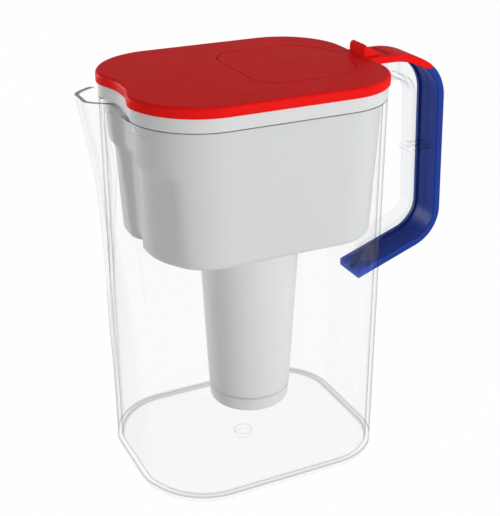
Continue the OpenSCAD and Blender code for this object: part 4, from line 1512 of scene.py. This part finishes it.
def build_outlet(context, s):
    """The outlet cap: a shallow slotted cup whose rim steps in at the groove."""
    h, low_r = s.outlet_h, s.cup_low_r - s.cap_draw
    step_r, wall_r = s.cup_low_r - s.cap_step, s.cup_low_r - s.cap_wall
    base = s.cup_z - h
    profile = rounded(
        [
            (s.hub_r, 0),
            (low_r, 0),
            (s.cup_low_r, h - s.cap_groove),
            (step_r, h - s.cap_groove),
            (step_r, h - s.rest_gap),
            (wall_r, h - s.rest_gap),
            (wall_r, s.cap_floor),
            (s.hub_r, s.cap_floor),
        ],
        [0, 2.4, 0.4, 0.1, 0.15, 0.3, 1.0, 0],
    )
    cap = solid("filter_outlet_cap", lathed(s, profile + (0, base), "pole"))
    cut_slots(cap, s, (s.slot_inner_r, low_r - s.slot_rim), (base - s.cut, base + s.cap_floor + s.cut))
    finished(context, cap, "white_plastic", "filter", "filter_outlet")


def build_inlet(context, s):
    """The inlet cap: a slotted plate with a skirt, and the pull loop on it."""
    rim_r = cup_r(s, s.inlet_z) - s.cup_wall - s.seam_gap / 2
    skirt_r, low, top = rim_r - s.cap_skirt, s.inlet_z, s.inlet_z + s.cap_h
    plate = top - s.cap_plate
    profile = rounded(
        [(s.hub_r, top), (rim_r, top), (rim_r, low), (skirt_r, low), (skirt_r, plate), (s.hub_r, plate)],
        [0, 0.5, 0.3, 0.3, 0.8, 0],
    )
    cap = solid("filter_inlet_cap", lathed(s, profile, "pole"))
    cut_slots(cap, s, (s.loop_r + s.slot_loop, rim_r - s.slot_rim), (low - s.cut, top + s.cut))
    combined(cap, loop_surface(s, top - s.loop_t / 2), "UNION")
    finished(context, cap, "inlet_plastic", "filter", "filter_inlet")


def build_seal(context, s):
    """The sealing ring under the flange."""
    outer_r, top = s.flange_r - s.seam_gap, s.seal_z + s.seal_t
    corners = [(outer_r, s.seal_z), (outer_r, top), (s.port_r, top), (s.port_r, s.seal_z)]
    profile = rounded(corners, [s.seal_edge] * 4)
    seal = solid("filter_seal", lathed(s, profile))
    finished(context, seal, "seal_rubber", "filter", "seal_ring")


def build_filter(context):
    """The filter's four housings, each a profile turned about the filter's axis."""
    s = sizes(context.scene)
    for build in (build_cup, build_outlet, build_inlet, build_seal):
        build(context, s)


def cut_slots(piece, s, reach, heights):
    """Cuts slots with round ends that run outwards all round the axis, each between two radii."""
    r = s.slot_w / 2
    (inner, outer), (low, high) = reach, heights
    plan = rounded([(inner, -r), (outer, -r), (outer, r), (inner, r)], [r * 0.98] * 4)
    for turn in np.arange(s.slot_count) * 2 * np.pi / s.slot_count:
        x = s.filter_x + plan[:, 0] * np.cos(turn) - plan[:, 1] * np.sin(turn)
        y = plan[:, 0] * np.sin(turn) + plan[:, 1] * np.cos(turn)
        combined(piece, lofted([ring((x, y), low), ring((x, y), high)], "face"), "DIFFERENCE")


def loop_surface(s, base):
    """The pull loop: a rounded band bent into half a circle, standing on the cap."""
    angle = np.radians(np.linspace(0, 180, 49))[:, None]
    half = s.loop_t / 2
    profile = rounded([(-half, -half), (half, -half), (half, half), (-half, half)], [s.loop_edge] * 4)
    r = s.loop_r - half + profile[:, 0][None, :]
    x, z = s.filter_x + r * np.cos(angle), base + r * np.sin(angle)
    return lofted(np.stack([x, np.broadcast_to(profile[:, 1], x.shape), z], axis=-1), "face")


def finish_inner_parts(context):
    """The pieces inside the filter and the hinge keep their solids and get their finishes."""
    for node, finish in {
        "hinge_pin": "pin_steel",
        "inlet_screen": "screen_mesh",
        "outlet_screen": "screen_mesh",
        "carbon_bed": "carbon",
        "felt_disc": "felt",
        "resin_bed": "resin",
    }.items():
        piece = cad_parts[node]
        material = material_of(context, finish)
        if not piece.material_slots:
            piece.data.materials.append(material)
        for slot in piece.material_slots:
            slot.material = material


# ---- the stage -----------------------------------------------------------------------------

IMAGE = (500, 516)  # width and height of the picture, in pixels
FOCAL_LENGTH = 1093.042  # in pixels
PICTURE_CENTRE = (260.362, 265.502)  # where the camera's axis meets the picture, in pixels
CAMERA_TURN = (-26.285, 25.473, -0.253)  # azimuth, elevation and roll, in degrees
CAMERA_TARGET = (13.0, 0.0, 126.362)  # a point on the camera's axis, in millimetres
CAMERA_DISTANCE = 0.712375  # from there, in metres
SENSOR = 36.0  # the sensor's long side, in millimetres
WHITE = (1.0, 1.0, 1.0, 1.0)
GLOSSY_SHARE = 0.3  # how much of the plain white a glossy surface mirrors
GROUND_WHITE = 0.985  # how much of the ground's own light is replaced where it is seen

# Each lamp's setting for its power, its place, the point that it faces and its width, in metres.
LAMPS = {
    "front lamp": ("key_power", (0.55, -1.6, 0.34), (0, 0, 0.13), 0.9),
    "rear lamp": ("fill_power", (1.5, -0.2, 0.9), (0, 0, 0.13), 0.8),
    "side lamp": ("side_power", (-1.6, -0.5, 0.3), (0, 0, 0.1), 0.8),
    "back lamp": ("back_power", (-0.8, 1.45, 0.25), (0, 0, 0.1), 0.8),
}


def white_for_view(tree, rays):
    """1 for rays seen straight or through the clear body, less for glossy ones, 0 after a matt surface."""
    seen = maths(tree, "MAXIMUM", rays.outputs["Is Camera Ray"], rays.outputs["Is Transmission Ray"])
    seen = maths(tree, "MAXIMUM", seen, maths(tree, "MULTIPLY", rays.outputs["Is Glossy Ray"], GLOSSY_SHARE))
    return maths(tree, "MULTIPLY", seen, maths(tree, "LESS_THAN", rays.outputs["Diffuse Depth"], 0.5))


def shown_over(tree, share, below, above, kind):
    """Mixes two shaders by a share and puts the result on a new output of this kind."""
    mix = tree.nodes.new("ShaderNodeMixShader")
    output = tree.nodes.new("ShaderNodeOutput" + kind)
    for source, socket in zip((share, below, above, mix.outputs[0]), (*mix.inputs, output.inputs["Surface"])):
        tree.links.new(source, socket)


def build_ground(context):
    """A pale ground: shown nearly white, with the object's shadow left in it."""
    half = context.scene.pitcher_stage.ground_size / 2
    mesh = bpy.data.meshes.new("ground")
    corners = [(-half, -half, 0), (half, -half, 0), (half, half, 0), (-half, half, 0)]
    mesh.from_pydata(corners, [], [(0, 1, 2, 3)])
    ground = bpy.data.objects.new("ground", mesh)
    context.scene.collection.objects.link(ground)
    material = bpy.data.materials.new("ground")
    material.use_nodes = True
    tree = material.node_tree
    tree.nodes.clear()
    matt = tree.nodes.new("ShaderNodeBsdfDiffuse")
    shade = context.scene.pitcher_finishes.floor
    patches = noise(tree, scale=3.0)
    tree.links.new(blended(tree, "MIX", patches, rgba(shade), rgba(shade, 0.97)), matt.inputs[0])
    white = tree.nodes.new("ShaderNodeEmission")
    white.inputs["Color"].default_value = WHITE
    share = maths(tree, "MULTIPLY", white_for_view(tree, tree.nodes.new("ShaderNodeLightPath")), GROUND_WHITE)
    shown_over(tree, share, matt.outputs[0], white.outputs[0], "Material")
    mesh.materials.append(material)


def build_world(context):
    """An even sky: white where it is seen, and dimmer where it lights the object."""
    world = bpy.data.worlds.new("sky")
    world.use_nodes = True
    context.scene.world = world
    tree = world.node_tree
    tree.nodes.clear()
    seen, lit = (tree.nodes.new("ShaderNodeBackground") for _ in range(2))
    for sky in (seen, lit):
        sky.inputs["Color"].default_value = WHITE
    rays = tree.nodes.new("ShaderNodeLightPath")
    direct = maths(tree, "SUBTRACT", 1.0, rays.outputs["Is Transmission Ray"])
    level = maths(tree, "MULTIPLY", direct, context.scene.pitcher_stage.sky_level)
    tree.links.new(level, lit.inputs["Strength"])
    shown_over(tree, white_for_view(tree, rays), lit.outputs[0], seen.outputs[0], "World")


def build_lamp(context, name, setting, place, target, width):
    """A soft square lamp that faces a point and isn't seen itself."""
    light = bpy.data.lights.new(name, "AREA")
    light.shape, light.size, light.size_y = "RECTANGLE", width, width
    light.energy = getattr(context.scene.pitcher_stage, setting)
    lamp = bpy.data.objects.new(name, light)
    context.scene.collection.objects.link(lamp)
    lamp.location = place
    lamp.rotation_euler = (Vector(target) - Vector(place)).to_track_quat("-Z", "Y").to_euler()
    lamp.visible_camera = False
    lamp.visible_transmission = False


def build_camera(context):
    """The camera: it looks back along its axis at the target, with its axes turned by a slight roll."""
    azimuth, elevation, roll = (math.radians(v) for v in CAMERA_TURN)
    level = math.cos(elevation)
    back = Vector((math.sin(azimuth) * level, -math.cos(azimuth) * level, math.sin(elevation)))
    right = Vector((math.cos(azimuth), math.sin(azimuth), 0))
    axes = Matrix((right, back.cross(right), back)).transposed() @ Matrix.Rotation(-roll, 3, "Z")
    lens = bpy.data.cameras.new("camera")
    camera = bpy.data.objects.new("camera", lens)
    context.scene.collection.objects.link(camera)
    camera.matrix_world = axes.to_4x4()
    camera.location = Vector(CAMERA_TARGET) * MM + back * CAMERA_DISTANCE
    long_side = max(IMAGE)
    lens.sensor_width = SENSOR
    lens.lens = FOCAL_LENGTH * SENSOR / long_side
    lens.shift_x = (IMAGE[0] / 2 - PICTURE_CENTRE[0]) / long_side
    lens.shift_y = (PICTURE_CENTRE[1] - IMAGE[1] / 2) / long_side
    lens.clip_start, lens.clip_end = 0.05, 50.0
    context.scene.camera = camera


def build_stage(context):
    """Ground, sky, lamps and camera."""
    build_ground(context)
    build_world(context)
    for name, lamp in LAMPS.items():
        build_lamp(context, name, *lamp)
    build_camera(context)
    context.scene.view_settings.view_transform = "Standard"


# ---- operators and panel -------------------------------------------------------------------


class PITCHER_OT_body(bpy.types.Operator):
    """Builds the clear body with its spout and handle core"""

    bl_idname = "pitcher.body"
    bl_label = "Clear body"
    bl_options = {"REGISTER", "UNDO"}

    def execute(self, context):
        build_body(context)
        return {"FINISHED"}


class PITCHER_OT_grip(bpy.types.Operator):
    """Builds the blue grip"""

    bl_idname = "pitcher.grip"
    bl_label = "Grip"
    bl_options = {"REGISTER", "UNDO"}

    def execute(self, context):
        build_grip(context)
        return {"FINISHED"}


class PITCHER_OT_reservoir(bpy.types.Operator):
    """Builds the grey reservoir"""

    bl_idname = "pitcher.reservoir"
    bl_label = "Reservoir"
    bl_options = {"REGISTER", "UNDO"}

    def execute(self, context):
        build_tub(context)
        return {"FINISHED"}


class PITCHER_OT_lid(bpy.types.Operator):
    """Builds the red lid with its arm"""

    bl_idname = "pitcher.lid"
    bl_label = "Lid"
    bl_options = {"REGISTER", "UNDO"}

    def execute(self, context):
        build_lid(context)
        return {"FINISHED"}


class PITCHER_OT_door(bpy.types.Operator):
    """Builds the flip door with its thumb tab"""

    bl_idname = "pitcher.door"
    bl_label = "Flip door"
    bl_options = {"REGISTER", "UNDO"}

    def execute(self, context):
        build_door(context)
        return {"FINISHED"}


class PITCHER_OT_filter(bpy.types.Operator):
    """Builds the filter's housings"""

    bl_idname = "pitcher.filter"
    bl_label = "Filter"
    bl_options = {"REGISTER", "UNDO"}

    def execute(self, context):
        build_filter(context)
        return {"FINISHED"}


class PITCHER_OT_inner_parts(bpy.types.Operator):
    """Gives the pin, screens and beds their finishes"""

    bl_idname = "pitcher.inner_parts"
    bl_label = "Inner parts"
    bl_options = {"REGISTER", "UNDO"}

    def execute(self, context):
        finish_inner_parts(context)
        return {"FINISHED"}


class PITCHER_OT_stage(bpy.types.Operator):
    """Builds the ground, sky, lamps and camera"""

    bl_idname = "pitcher.stage"
    bl_label = "Stage"
    bl_options = {"REGISTER", "UNDO"}

    def execute(self, context):
        build_stage(context)
        return {"FINISHED"}


STEPS = [
    PITCHER_OT_body,
    PITCHER_OT_grip,
    PITCHER_OT_reservoir,
    PITCHER_OT_lid,
    PITCHER_OT_door,
    PITCHER_OT_filter,
    PITCHER_OT_inner_parts,
    PITCHER_OT_stage,
]


class VIEW3D_PT_pitcher(bpy.types.Panel):
    """Lists the building steps and their settings."""

    bl_label = "Water pitcher"
    bl_space_type = "VIEW_3D"
    bl_region_type = "UI"
    bl_category = "Pitcher"

    def draw(self, context):
        for step in STEPS:
            self.layout.operator(step.bl_idname)
        for key in SETTINGS:
            box = self.layout.box()
            values = getattr(context.scene, key)
            box.label(text=key.replace("_", " ").capitalize())
            for name in type(values).__annotations__:
                box.prop(values, name)


def register():
    """Registers the settings, the operators and the panel."""
    for key, group in SETTINGS.items():
        bpy.utils.register_class(group)
        setattr(bpy.types.Scene, key, PointerProperty(type=group))
    for step in STEPS:
        bpy.utils.register_class(step)
    bpy.utils.register_class(VIEW3D_PT_pitcher)


def unregister():
    """Takes the panel, the operators and the settings out again."""
    bpy.utils.unregister_class(VIEW3D_PT_pitcher)
    for step in reversed(STEPS):
        bpy.utils.unregister_class(step)
    for key, group in reversed(SETTINGS.items()):
        delattr(bpy.types.Scene, key)
        bpy.utils.unregister_class(group)


def main():
    """Runs every building step in order."""
    register()
    for step in STEPS:
        getattr(bpy.ops.pitcher, step.bl_idname.split(".")[1])()


if __name__ == "__main__":
    main()
